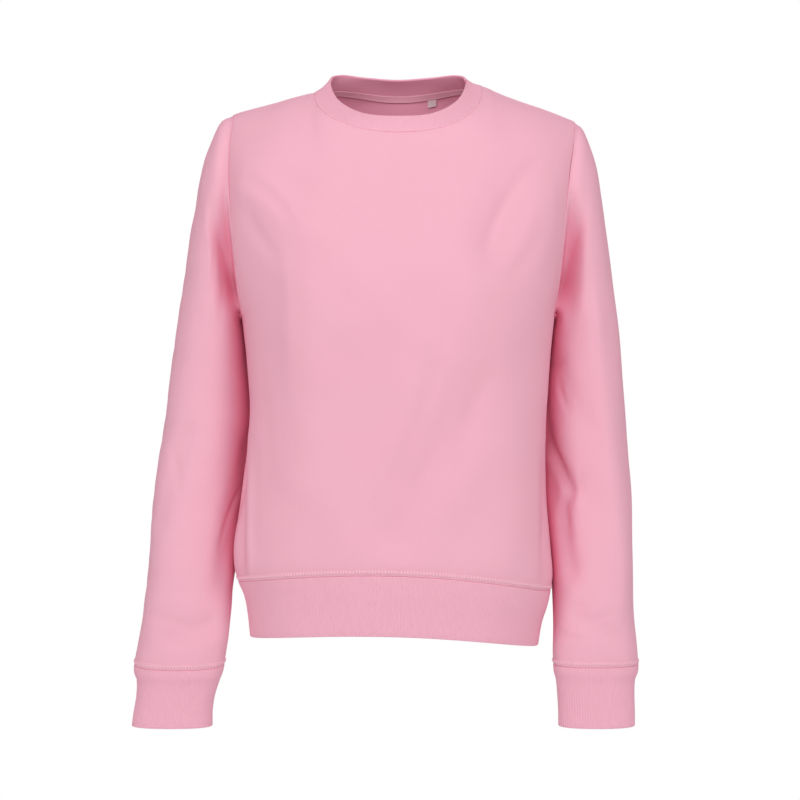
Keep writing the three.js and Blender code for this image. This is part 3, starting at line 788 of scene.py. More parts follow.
@dataclass
class Cloth:
    """A grid of points that becomes a shell of cloth, with the place of each point on the flat cloth."""

    points: Points
    closed: bool
    thickness: float
    edges: Edges
    facing: Points | None = None
    normals: Points = field(init=False)
    flat: Points = field(init=False)

    def __post_init__(self) -> None:
        """Measure the cloth before anything is raised on it."""
        self.normals = grid_normals(self.points, self.closed, self.facing)
        across = lengths(self.points, 1)
        across = across - across[:, [across.shape[1] // 2]]
        self.flat = np.stack([across, -lengths(self.points, 0)], -1)

    def from_edge(self, edge: str) -> Points:
        """Measure every point from an edge, along the cloth.

        Args:
            edge: Which edge: top, bottom or side.

        Returns:
            Each point's distance from it.
        """
        rows, columns = lengths(self.points, 0), lengths(self.points, 1)
        if edge == "top":
            return rows
        if edge == "bottom":
            return rows[-1:] - rows
        return np.minimum(columns, columns[:, -1:] - columns)

    def raise_by(self, height: Points) -> None:
        """Move the points out by a height and measure the normals again."""
        self.points = self.points + self.normals * height[..., None]
        self.normals = grid_normals(self.points, self.closed, self.facing)

    def line(self, edge: str, distance: float) -> tuple[Points, Points]:
        """A line on the outer face, a distance in from one edge.

        Args:
            edge: Which edge: top, bottom, first or last.
            distance: How far from it.

        Returns:
            The line's points and the cloth's normals there.
        """
        across = edge in ("first", "last")
        points, normals = self.points, self.normals
        if across:
            points, normals = points.swapaxes(0, 1), normals.swapaxes(0, 1)
        if edge in ("bottom", "last"):
            points, normals = points[::-1], normals[::-1]
        run = lengths(points, 0)
        found = []
        for c in range(points.shape[1]):
            r = int(np.clip(np.searchsorted(run[:, c], distance) - 1, 0, len(run) - 2))
            t = (distance - run[r, c]) / (run[r + 1, c] - run[r, c])
            place = mix(points[r, c], points[r + 1, c], t)
            found.append((place, mix(normals[r, c], normals[r + 1, c], t)))
        return np.array([p for p, _ in found]), np.array([n for _, n in found])

    def build(self, name: str, ribs: float = 0) -> bpy.types.Object:
        """Make the shell.

        Args:
            name: The object's name.
            ribs: How many ribs run down it, all round.

        Returns:
            The object. Its UV map holds places on the flat cloth, in metres, and attributes hold its outer
            face and its ribs.
        """
        sunk = self.edges.depth(self.points, self.closed)
        outer = self.points - self.normals * sunk[..., None]
        inner = self.points - self.normals * self.thickness
        flat = self.flat
        if self.closed:
            last = np.linalg.norm(self.points[:, -1] - self.points[:, 0], axis=-1)
            beyond = flat[:, -1] + np.stack([last, np.zeros_like(last)], -1)
            flat = np.concatenate([flat, beyond[:, None]], 1)
        layers, flats, shares = [outer], [flat], [np.ones(len(outer))]
        if not self.edges.bottom:
            turned, share = self._folded_edge(outer[-1], inner[-1], False)
            layers.append(turned)
            shares.append(share)
            flats.append(np.repeat(flat[[-1]], len(turned), axis=0))
        layers.append(inner[::-1])
        shares.append(np.zeros(len(inner)))
        flats.append(flat[::-1])
        if not self.edges.top:
            turned, share = self._folded_edge(inner[0], outer[0], True)
            layers.append(turned)
            shares.append(share[::-1])
            flats.append(np.repeat(flat[[0]], len(turned), axis=0))
        thing = self._mesh(name, np.concatenate(layers), np.concatenate(flats))
        columns = self.points.shape[1]
        share = np.concatenate(shares)
        add_attribute(thing.data, "outer_share", np.repeat(share, columns))
        if ribs:
            phase = np.broadcast_to(np.arange(columns) / columns * ribs, (len(share), columns))
            add_attribute(thing.data, "rib_phase", phase.ravel())
        return thing

    def _folded_edge(self, start: Points, end: Points, top: bool) -> tuple[Points, Points]:
        """Turn the cloth over at a free edge in a half round.

        Args:
            start: The row on the side that the cloth turns from.
            end: The row on the other side.
            top: Whether it is the top edge.

        Returns:
            The rows between the two, and for each a share that falls from 1 at the start to 0 at the end.
        """
        beyond = self.points[0] - self.points[1] if top else self.points[-1] - self.points[-2]
        beyond = beyond / np.linalg.norm(beyond, axis=-1, keepdims=True)
        middle, half = (start + end) / 2, (start - end) / 2
        radius = np.linalg.norm(half, axis=-1, keepdims=True)
        angles = np.linspace(0, math.pi, 8)[1:-1]
        rows = [middle + half * math.cos(a) + beyond * radius * math.sin(a) for a in angles]
        return np.stack(rows), np.cos(angles / 2) ** 2

    def _mesh(self, name: str, ring: Points, flat: Points) -> bpy.types.Object:
        """Join a ring of rows, outer face first, into one closed mesh.

        Args:
            name: The object's name.
            ring: The rows.
            flat: Each point's place on the flat cloth.

        Returns:
            The object.
        """
        count, columns = ring.shape[:2]
        number = np.arange(count * columns).reshape(count, columns)
        r, c = np.meshgrid(np.arange(count), np.arange(columns - (not self.closed)), indexing="ij")
        after_r, after_c = (r + 1) % count, (c + 1) % columns
        faces = np.stack([number[r, c], number[after_r, c], number[after_r, after_c], number[r, after_c]], -1)
        flats = np.stack([flat[r, c], flat[after_r, c], flat[after_r, c + 1], flat[r, c + 1]], -2)
        faces, flats = faces.reshape(-1, 4), flats.reshape(-1, 4, 2)
        if not self.closed:
            r = np.arange(self.points.shape[0] - 1)
            inner = count - 1 - r
            for column, order in ((0, (0, 1, 2, 3)), (columns - 1, (0, 3, 2, 1))):
                loop = np.stack([r, inner, inner - 1, r + 1], -1)[:, order]
                faces = np.concatenate([faces, number[loop, column]])
                flats = np.concatenate([flats, flat[loop, column]])
        corners = ring.reshape(-1, 3)
        a, b, d = (corners[faces[:, i]] for i in (0, 1, 2))
        if np.einsum("ij,ij->i", a, np.cross(b, d)).sum() < 0:
            faces, flats = faces[:, ::-1], flats[:, ::-1]
        return make_mesh(name, corners, faces, flats)


def weld_seams(cloths: list[Cloth], near: float = 1.6, reach: float = 5.0, looked_at: int = 12) -> None:
    """Give pieces that meet at a seam the same normals there, so that their edges stay together.

    Args:
        cloths: The pieces.
        near: How close two pieces' edge points are where they are sewn together.
        reach: How far from the seam the change fades out.
        looked_at: How many of the nearest edge points are looked at.
    """
    rims = []
    for cloth in cloths:
        edges = ["top", "bottom"] if cloth.closed else ["top", "bottom", "first", "last"]
        rims.append([(edge, *cloth.line(edge, 0.0)) for edge in edges])
    tree = KDTree(sum(len(points) for rim in rims for _, points, _ in rim))
    owners, normals = [], []
    for owner, rim in enumerate(rims):
        for _, points, lean in rim:
            for point, normal in zip(points, lean):
                tree.insert(point, len(owners))
                owners.append(owner)
                normals.append(normal)
    tree.balance()
    for owner, (cloth, rim) in enumerate(zip(cloths, rims)):
        shift = np.zeros_like(cloth.points)
        for edge, points, lean in rim:
            wanted = []
            for point, normal in zip(points, lean):
                total = Vector(normal)
                met = {owner}
                for _, index, distance in tree.find_n(point, looked_at):
                    if distance < near and owners[index] not in met:
                        met.add(owners[index])
                        total += Vector(normals[index])
                wanted.append(total.normalized() - Vector(normal))
            change = np.array(wanted)
            if edge in ("top", "bottom"):
                away = cloth.from_edge(edge)
                shift += change[None] * np.clip(1 - away / reach, 0, 1)[..., None]
            else:
                away = lengths(cloth.points, 1)
                if edge == "last":
                    away = lengths(cloth.points[:, ::-1], 1)[:, ::-1]
                shift += change[:, None] * np.clip(1 - away / reach, 0, 1)[..., None]
        cloth.normals = cloth.normals + shift
        cloth.normals /= np.linalg.norm(cloth.normals, axis=-1, keepdims=True)


def add_attribute(mesh: bpy.types.Mesh, name: str, values: Points) -> None:
    """Give every vertex of a mesh a number, or a vector where the values have rows of three.

    Args:
        mesh: The mesh.
        name: The attribute's name.
        values: What each vertex is given.
    """
    kind = "FLOAT_VECTOR" if values.ndim == 2 else "FLOAT"
    layer = mesh.attributes.new(name, kind, "POINT")
    layer.data.foreach_set("vector" if values.ndim == 2 else "value", values.astype(np.float32).ravel())


def make_mesh(name: str, corners: Points, faces: Points, flats: Points) -> bpy.types.Object:
    """Make a smooth-shaded object from corners in millimetres.

    Args:
        name: The object's name.
        corners: Its vertices.
        faces: Its four-cornered faces.
        flats: The place of each face's corners on the flat cloth.

    Returns:
        The object, linked to the scene.
    """
    mesh = bpy.data.meshes.new(name)
    mesh.from_pydata((corners * MM).tolist(), [], faces.tolist())
    layer = mesh.uv_layers.new(name="cloth")
    layer.data.foreach_set("uv", (flats * MM).astype(np.float32).ravel())
    mesh.shade_smooth()
    mesh.update()
    thing = bpy.data.objects.new(name, mesh)
    bpy.context.collection.objects.link(thing)
    return thing


def bake_nodes(thing: bpy.types.Object, tree: bpy.types.NodeTree, **values: object) -> None:
    """Run a Geometry Nodes tree on an object and keep its result as a plain mesh.

    Args:
        thing: The object.
        tree: The tree.
        values: The tree's inputs, by name in lower case.
    """
    modifier = thing.modifiers.new("nodes", "NODES")
    modifier.node_group = tree
    for item in tree.interface.items_tree:
        if item.item_type == "SOCKET" and item.in_out == "INPUT" and item.name.lower() in values:
            modifier[item.identifier] = values[item.name.lower()]
    graph = bpy.context.evaluated_depsgraph_get()
    mesh = bpy.data.meshes.new_from_object(thing.evaluated_get(graph), depsgraph=graph)
    thing.modifiers.clear()
    thing.data = mesh
    mesh.materials.clear()
    mesh.materials.append(values["material"])


class Writer:
    """Adds nodes to a tree with short calls."""

    def __init__(self, tree: bpy.types.NodeTree) -> None:
        """Write into a tree."""
        self.tree = tree

    def add(self, kind: str, **inputs: object) -> bpy.types.Node:
        """Add a node.

        Args:
            kind: The node's type.
            inputs: Its sockets' values, or the sockets that feed them, with _ for a space in a name.

        Returns:
            The node.
        """
        node = self.tree.nodes.new(kind)
        for name, value in inputs.items():
            self.feed(node.inputs[name.replace("_", " ")], value)
        return node

    def feed(self, socket: bpy.types.NodeSocket, value: object) -> None:
        """Set a socket, or link it.

        Args:
            socket: The input.
            value: A plain value, or the output to link.
        """
        if isinstance(value, bpy.types.NodeSocket):
            self.tree.links.new(value, socket)
        else:
            socket.default_value = value

    def math(self, operation: str, *values: object) -> bpy.types.NodeSocket:
        """Add a Math node.

        Args:
            operation: The node's operation.
            values: Its inputs, each plain or an output.

        Returns:
            The result.
        """
        node = self.tree.nodes.new("ShaderNodeMath")
        node.operation = operation
        for socket, value in zip(node.inputs, values):
            self.feed(socket, value)
        return node.outputs[0]

    def mixed(self, share: object, a: object, b: object) -> bpy.types.NodeSocket:
        """Add a colour Mix node.

        Args:
            share: How much of the second colour there is.
            a: The first colour.
            b: The second colour.

        Returns:
            The result.
        """
        node = self.tree.nodes.new("ShaderNodeMix")
        node.data_type = "RGBA"
        for socket, value in zip((node.inputs[0], node.inputs[6], node.inputs[7]), (share, a, b)):
            self.feed(socket, value)
        return node.outputs[2]


def new_tree(name: str, kind: str, inputs: dict[str, str], outputs: dict[str, str]) -> bpy.types.NodeTree:
    """Make an empty node group.

    Args:
        name: The group's name.
        kind: Its tree type.
        inputs: Socket types by input name.
        outputs: Socket types by output name.

    Returns:
        The tree.
    """
    tree = bpy.data.node_groups.new(name, kind)
    for way, sockets in (("INPUT", inputs), ("OUTPUT", outputs)):
        for socket, of_type in sockets.items():
            tree.interface.new_socket(socket, in_out=way, socket_type=of_type)
    return tree


def rib_tree() -> bpy.types.NodeTree:
    """Geometry Nodes that raise the ribs of a knitted band.

    Returns:
        The tree.
    """
    inputs = {"Band": "NodeSocketGeometry", "Rise": "NodeSocketFloat", "Material": "NodeSocketMaterial"}
    tree = new_tree("knitted ribs", "GeometryNodeTree", inputs, {"Band": "NodeSocketGeometry"})
    write = Writer(tree)
    given = write.add("NodeGroupInput").outputs
    phase = write.add("GeometryNodeInputNamedAttribute", Name="rib_phase").outputs[0]
    share = write.add("GeometryNodeInputNamedAttribute", Name="outer_share").outputs[0]
    wave = write.math("COSINE", write.math("MULTIPLY", phase, 2 * math.pi))
    height = write.math("MULTIPLY", write.math("MULTIPLY", wave, share), given["Rise"])
    normal = write.add("GeometryNodeInputNormal").outputs[0]
    offset = tree.nodes.new("ShaderNodeVectorMath")
    offset.operation = "SCALE"
    write.feed(offset.inputs[0], normal)
    write.feed(offset.inputs["Scale"], height)
    moved = write.add("GeometryNodeSetPosition", Geometry=given["Band"], Offset=offset.outputs[0])
    real = write.add("GeometryNodeRealizeInstances", Geometry=moved.outputs[0])
    dressed = write.add("GeometryNodeSetMaterial", Geometry=real.outputs[0], Material=given["Material"])
    write.add("NodeGroupOutput", Band=dressed.outputs[0])
    return tree


def stitch_tree() -> bpy.types.NodeTree:
    """Geometry Nodes that sew a line with needle stitches lying on the cloth.

    Returns:
        The tree.
    """
    sizes = {name: "NodeSocketFloat" for name in ("Pitch", "Length", "Width", "Height")}
    inputs = {"Line": "NodeSocketGeometry", **sizes, "Material": "NodeSocketMaterial"}
    tree = new_tree("needle stitches", "GeometryNodeTree", inputs, {"Stitches": "NodeSocketGeometry"})
    write = Writer(tree)
    given = write.add("NodeGroupInput").outputs
    curve = write.add("GeometryNodeMeshToCurve", Mesh=given["Line"])
    spaced = tree.nodes.new("GeometryNodeResampleCurve")
    spaced.mode = "LENGTH"
    write.feed(spaced.inputs["Curve"], curve.outputs[0])
    write.feed(spaced.inputs["Length"], given["Pitch"])
    along = tree.nodes.new("FunctionNodeAlignRotationToVector")
    along.axis = "X"
    write.feed(along.inputs["Vector"], write.add("GeometryNodeInputTangent").outputs[0])
    upright = tree.nodes.new("FunctionNodeAlignRotationToVector")
    upright.axis = "Z"
    upright.pivot_axis = "X"
    normal = tree.nodes.new("GeometryNodeInputNamedAttribute")
    normal.data_type = "FLOAT_VECTOR"
    normal.inputs["Name"].default_value = "surface_normal"
    write.feed(upright.inputs["Rotation"], along.outputs[0])
    write.feed(upright.inputs["Vector"], normal.outputs[0])
    grain = write.add("GeometryNodeMeshUVSphere", Segments=6, Rings=4, Radius=0.5)
    size = write.add("ShaderNodeCombineXYZ", X=given["Length"], Y=given["Width"], Z=given["Height"])
    placed = write.add(
        "GeometryNodeInstanceOnPoints",
        Points=spaced.outputs[0],
        Instance=grain.outputs[0],
        Rotation=upright.outputs[0],
        Scale=size.outputs[0],
    )
    real = write.add("GeometryNodeRealizeInstances", Geometry=placed.outputs[0])
    smoothed = write.add("GeometryNodeSetShadeSmooth", Geometry=real.outputs[0])
    outer = write.add(
        "GeometryNodeStoreNamedAttribute",
        Geometry=smoothed.outputs[0],
        Name="outer_share",
        Value=1.0,
    )
    dressed = write.add("GeometryNodeSetMaterial", Geometry=outer.outputs[0], Material=given["Material"])
    write.add("NodeGroupOutput", Stitches=dressed.outputs[0])
    return tree


def mottle_group() -> bpy.types.NodeTree:
    """Shader group for the uneven shade of brushed cloth: broad clouds and fine fibres.

    Returns:
        The tree.
    """
    inputs = {"Place": "NodeSocketVector", "Clouds": "NodeSocketFloat", "Fibres": "NodeSocketFloat"}
    tree = new_tree("brushed mottle", "ShaderNodeTree", inputs, {"Shade": "NodeSocketFloat"})
    write = Writer(tree)
    given = write.add("NodeGroupInput").outputs
    broad = write.add("ShaderNodeTexNoise", Vector=given["Place"], Scale=11.0, Detail=3.0).outputs[0]
    fine = write.add("ShaderNodeTexNoise", Vector=given["Place"], Scale=520.0, Detail=2.0).outputs[0]
    clouds = write.math("MULTIPLY", write.math("SUBTRACT", broad, 0.5), given["Clouds"])
    fibres = write.math("MULTIPLY", write.math("SUBTRACT", fine, 0.5), given["Fibres"])
    write.add("NodeGroupOutput", Shade=write.math("ADD", write.math("ADD", clouds, fibres), 0.5))
    return tree


def knit_group() -> bpy.types.NodeTree:
    """Shader group for knitted loops: upright wales of small slanted stitches, read from the flat cloth.

    Returns:
        The tree.
    """
    inputs = {"Flat": "NodeSocketVector", "Wale": "NodeSocketFloat", "Course": "NodeSocketFloat"}
    tree = new_tree("knitted loops", "ShaderNodeTree", inputs, {"Height": "NodeSocketFloat"})
    write = Writer(tree)
    given = write.add("NodeGroupInput").outputs
    flat = write.add("ShaderNodeSeparateXYZ", Vector=given["Flat"]).outputs
    across = write.math("PINGPONG", write.math("DIVIDE", flat[0], given["Wale"]), 0.5)
    down = write.math("DIVIDE", flat[1], given["Course"])
    slanted = write.math("ADD", down, write.math("MULTIPLY", across, 1.6))
    loop = write.math("SINE", write.math("MULTIPLY", slanted, 2 * math.pi))
    leg = write.math("SINE", write.math("MULTIPLY", across, 2 * math.pi))
    height = write.math("ADD", write.math("MULTIPLY", leg, 0.6), write.math("MULTIPLY", loop, 0.25))
    write.add("NodeGroupOutput", Height=height)
    return tree


def painted_shade_group() -> bpy.types.NodeTree:
    """Shader group for the painted shade in creases: how shut in a place is, 0 in the open and 1 deep in a
    crease.

    Returns:
        The tree.
    """
    inputs = {"Reach": "NodeSocketFloat"}
    # This group puts out the mask of the painted shade in creases.
    tree = new_tree("creases", "ShaderNodeTree", inputs, {"Depth": "NodeSocketFloat"})
    write = Writer(tree)
    given = write.add("NodeGroupInput").outputs
    around = write.add("ShaderNodeAmbientOcclusion", Distance=given["Reach"])
    around.samples = 8
    beyond = write.math("MULTIPLY_ADD", around.outputs["AO"], -PAINTED_SHADE_GAIN, PAINTED_SHADE_GAIN - PAINTED_SHADE_THRESHOLD)
    above = write.math("MAXIMUM", beyond, 0.0)
    write.add("NodeGroupOutput", Depth=write.math("POWER", above, PAINTED_SHADE_CURVE))
    return tree


Colour = tuple[float, float, float]


def linear(colour: Colour) -> tuple[float, float, float, float]:
    """Turn a colour as a screen shows it, from 0 to 255, into the values that light works with.

    Args:
        colour: The colour as it is shown.

    Returns:
        Its red, green and blue for a shader, and full opacity.
    """
    shares = [value / 255 for value in colour]
    red, green, blue = (s / 12.92 if s <= 0.04045 else ((s + 0.055) / 1.055) ** 2.4 for s in shares)
    return red, green, blue, 1.0


# Painted shade: the colour turns a deeper, redder pink where folds and seams shut the cloth in, standing in for
# the light that passes back and forth between them, over this reach in metres.
PAINTED_SHADE_REACH = 0.026
# The colour of the painted shade in creases.
PAINTED_SHADE_COLOUR = (240, 104, 150)
PAINTED_SHADE_GAIN = 1.25
PAINTED_SHADE_CURVE = 1.5
# Places less shut in than this get no painted shade.
PAINTED_SHADE_THRESHOLD = 0.18


@dataclass(frozen=True)
class KnitFinish:
    """The finish of a knitted cloth, with how much painted shade it takes in creases."""

    name: str
    pale: Colour
    deep: Colour
    inside: Colour
    wale: float
    course: float
    relief: float
    knit_shade: float = 0.18
    fuzz: float = 0.72
    clouds: float = 0.35
    fibres: float = 0.5
    roughness: float = 0.92
    roughness_spread: float = 0.1
    specular: float = 0.15
    sheen: float = 0.14
    sheen_roughness: float = 0.55
    sheen_colour: Colour = (255, 206, 220)
    # How strongly the painted shade in creases shows on this cloth.
    painted_shade_share: float = 0.65

    def make(self, groups: dict[str, bpy.types.NodeTree]) -> bpy.types.Material:
        """Build the material.

        Args:
            groups: The shared shader groups, by name.

        Returns:
            The material.
        """
        material = bpy.data.materials.new(self.name)
        material.use_nodes = True
        tree = material.node_tree
        tree.nodes.clear()
        write = Writer(tree)
        place = write.add("ShaderNodeTexCoord").outputs["Object"]
        flat = tree.nodes.new("ShaderNodeUVMap")
        flat.uv_map = "cloth"
        mottle = self._use(write, groups["mottle"], Place=place, Clouds=self.clouds, Fibres=self.fibres)
        knit = self._use(write, groups["knit"], Flat=flat.outputs[0], Wale=self.wale, Course=self.course)
        share = write.math("ADD", mottle, write.math("MULTIPLY", knit, -self.knit_shade))
        outside = write.mixed(share, linear(self.pale), linear(self.deep))
        # The inner face takes its own colour, which for fleece, ribs and thread is partly painted shade.
        outer = tree.nodes.new("ShaderNodeAttribute")
        outer.attribute_name = "outer_share"
        plain = write.mixed(outer.outputs["Fac"], linear(self.inside), outside)
        # Painted shade: the colour turns a deeper, redder pink in creases and seams, as far as they shut the
        # cloth in.
        painted_shade_mask = self._use(write, groups["crease"], Reach=PAINTED_SHADE_REACH)
        painted_shade_amount = write.math("MULTIPLY", painted_shade_mask, self.painted_shade_share)
        colour = write.mixed(painted_shade_amount, plain, linear(PAINTED_SHADE_COLOUR))
        fuzz = write.add("ShaderNodeTexNoise", Vector=place, Scale=900.0, Detail=3.0, Roughness=0.6)
        height = write.math("ADD", knit, write.math("MULTIPLY", fuzz.outputs[0], self.fuzz))
        bump = write.add("ShaderNodeBump", Strength=0.6, Distance=self.relief, Height=height)
        spread = write.math("MULTIPLY", mottle, self.roughness_spread)
        rough = write.math("ADD", spread, self.roughness - self.roughness_spread / 2)
        shader = write.add(
            "ShaderNodeBsdfPrincipled",
            Base_Color=colour,
            Roughness=rough,
            Normal=bump.outputs[0],
            Sheen_Weight=self.sheen,
            Sheen_Roughness=self.sheen_roughness,
            Sheen_Tint=linear(self.sheen_colour),
        )
        shader.inputs["Specular IOR Level"].default_value = self.specular
        write.add("ShaderNodeOutputMaterial", Surface=shader.outputs[0])
        return material

    @staticmethod
    def _use(write: Writer, group: bpy.types.NodeTree, **inputs: object) -> bpy.types.NodeSocket:
        """Place a shared group in the material.

        Args:
            write: The material's writer.
            group: The group.
            inputs: Its inputs, by name.

        Returns:
            Its output.
        """
        node = write.tree.nodes.new("ShaderNodeGroup")
        node.node_tree = group
        for name, value in inputs.items():
            write.feed(node.inputs[name], value)
        return node.outputs[0]


# The inner face is a deeper, redder pink than the outer: partly the brushed back of the fleece, partly painted
# shade, as the inside of the garment lies in shade.
INSIDE_PINK_WITH_PAINTED_SHADE = (255, 178, 203)
FLEECE_FINISH = KnitFinish(
    name="brushed fleece",
    pale=(250, 194, 210),
    deep=(245, 180, 199),
    inside=INSIDE_PINK_WITH_PAINTED_SHADE,
    wale=0.0013,
    course=0.001,
    relief=0.00012,
)
RIB_FINISH = KnitFinish(
    name="rib knit",
    pale=(251, 194, 211),
    deep=(246, 178, 198),
    inside=INSIDE_PINK_WITH_PAINTED_SHADE,
    wale=0.00145,
    course=0.0014,
    relief=0.00016,
    fibres=0.3,
)
TAPE_FINISH = KnitFinish(
    name="twill tape",
    pale=(254, 190, 209),
    deep=(251, 176, 198),
    inside=(254, 190, 209),
    wale=0.0009,
    course=0.0009,
    relief=0.00015,
)
LABEL_FINISH = KnitFinish(
    name="woven label",
    pale=(255, 232, 238),
    deep=(250, 218, 226),
    inside=(255, 236, 241),
    wale=0.0006,
    course=0.0004,
    relief=0.00008,
    painted_shade_share=0.3,
)
THREAD_FINISH = KnitFinish(
    name="sewing thread",
    pale=(255, 222, 232),
    deep=(252, 208, 221),
    inside=INSIDE_PINK_WITH_PAINTED_SHADE,
    wale=0.0006,
    course=0.0005,
    relief=0.00008,
    painted_shade_share=0.15,
)


@dataclass
class Wardrobe:
    """The finishes and node trees that the pieces share."""

    materials: dict[str, bpy.types.Material] = field(default_factory=dict)
    ribs: bpy.types.NodeTree | None = None
    stitches: bpy.types.NodeTree | None = None

    def fill(self) -> None:
        """Build every material and tree once."""
        # The crease group gives the mask of the painted shade in creases.
        groups = {"mottle": mottle_group(), "knit": knit_group(), "crease": painted_shade_group()}
        finishes = {
            "fleece": FLEECE_FINISH,
            "rib": RIB_FINISH,
            "tape": TAPE_FINISH,
            "label": LABEL_FINISH,
            "thread": THREAD_FINISH,
        }
        self.materials = {name: finish.make(groups) for name, finish in finishes.items()}
        self.ribs = rib_tree()
        self.stitches = stitch_tree()


@dataclass(frozen=True)
class Cut:
    """The flat size that a piece of cloth was cut to, in metres, and its area."""

    width: float
    length: float
    area: float


def dress(thing: bpy.types.Object, node: str, slot: str, wardrobe: Wardrobe) -> None:
    """Let a piece of cloth stand for its node, and give it its finish.

    Args:
        thing: The piece.
        node: The node it takes the place of.
        slot: The slot of its finish.
        wardrobe: The finishes.
    """
    thing.data.materials.clear()
    thing.data.materials.append(wardrobe.materials[slot])
    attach(thing, "root")
    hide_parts(node)
    log.info("%s: %d faces", thing.name, len(thing.data.polygons))


FRONT_FOLDS = (
    soft(-168, -112, -92, -158, 24, 3.0),
    soft(-150, -168, -132, -330, 24, -3.0),
    soft(-98, -175, -92, -430, 32, 3.5),
    soft(136, -92, 98, -172, 26, -3.5),
    soft(112, -184, 140, -200, 24, -3.0),
    soft(158, -120, 150, -250, 22, 2.5),
    soft(74, -200, 82, -330, 30, 2.5),
    soft(40, -300, -48, -490, 26, 3.0),
    soft(84, -330, -2, -500, 28, -3.5),
    soft(128, -400, 120, -500, 24, 2.5),
    crease(-172, -98, -112, -152, 9, -1.8, 6),
    crease(-164, -130, -128, -190, 11, -1.3, -5),
    crease(150, -84, 96, -176, 10, -1.7, -7),
    crease(157, -140, 118, -214, 12, -1.3, 6),
    crease(-160, -395, -159, -534, 5, 1.4),
    crease(-170, -385, -169, -534, 7, -4.6),
    crease(158, -390, 157, -534, 7, -2.6),
    crease(-122, -170, -120, -330, 12, 0.7, 4),
    crease(60, -240, -30, -470, 14, -1.3, 8),
    crease(104, -300, 62, -440, 14, -1.0, -8),
    crease(-150, -300, -140, -420, 10, -0.7, 3),
)
BACK_FOLDS = (
    soft(-120, -90, -60, -210, 30, 3.0),
    soft(118, -96, 64, -205, 28, 3.0),
    soft(-4, -120, 6, -420, 34, -5.0),
    soft(-96, -250, -60, -480, 30, 3.5),
    soft(104, -270, 78, -470, 28, 3.0),
    soft(134, -330, 150, -500, 22, -3.5),
    soft(-136, -340, -120, -505, 24, -3.0),
    crease(-160, -110, -92, -196, 11, -1.1, 7),
    crease(156, -100, 88, -188, 11, -1.2, -7),
    crease(-30, -150, -14, -380, 14, -0.8, 6),
    crease(34, -170, 22, -400, 13, -0.8, -5),
    crease(-150, -350, -60, -300, 12, -1.0, -6),
    crease(152, -372, 70, -330, 12, -1.0, 6),
    crease(-120, -420, -20, -380, 12, -0.7, -5),
    crease(128, -436, 40, -398, 12, -0.7, 5),
)
SLEEVE_FOLDS = {
    Arm.LEFT: (
        soft(148, -366, 100, -434, 15, -6.0),
        soft(120, -300, 80, -365, 15, -2.0),
        soft(130, -424, 112, -520, 16, -6.0),
        soft(60, -250, 50, -560, 18, 3.0),
        soft(100, -575, 60, -600, 12, -3.0),
        soft(250, -340, 200, -400, 15, -5.0),
        soft(300, -260, 290, -540, 20, 3.0),
        crease(57, -186, 54, -461, 7, 0.5, 3),
        crease(148, -382, 106, -438, 12, -4.4, -4),
        crease(106, -438, 114, -486, 13, -4.4, 3),
        crease(94, -412, 92, -462, 7, 1.2, 2),
        crease(116, -318, 100, -350, 6, -1.2, 3),
        crease(140, -300, 108, -296, 7, -0.9, 3),
        crease(36, -568, 92, -584, 6, -1.1, 4),
        crease(84, -600, 140, -590, 6, -1.0, -3),
        crease(232, -330, 190, -372, 7, -1.6, 4),
        crease(262, -372, 214, -420, 7, -1.4, -4),
        crease(214, -584, 276, -596, 6, -1.0, 3),
        crease(292, -150, 260, -250, 9, -0.8, 5),
    ),
    Arm.RIGHT: (
        soft(95, -150, 85, -420, 20, 3.0),
        soft(140, -400, 120, -540, 18, -4.0),
        soft(110, -585, 70, -600, 12, -3.5),
        soft(60, -380, 40, -470, 16, -2.5),
        soft(245, -330, 200, -395, 15, -5.0),
        soft(300, -250, 285, -520, 20, 3.0),
        crease(28, -42, 46, -58, 5, -1.3, 1),
        crease(76, -165, 72, -240, 5, -0.9, 2),
        crease(92, -175, 86, -262, 5, -0.7, 2),
        crease(36, -574, 96, -592, 6, -1.2, 4),
        crease(70, -606, 130, -590, 6, -1.0, -3),
        crease(48, -556, 84, -548, 6, -0.7, 2),
        crease(150, -430, 118, -500, 7, -1.2, -4),
        crease(40, -390, 64, -450, 8, -0.7, 4),
        crease(236, -322, 192, -366, 7, -1.6, 4),
        crease(258, -368, 212, -412, 7, -1.3, -4),
        crease(210, -586, 270, -598, 6, -1.0, 3),
        crease(290, -140, 262, -240, 9, -0.8, 5),
    ),
}


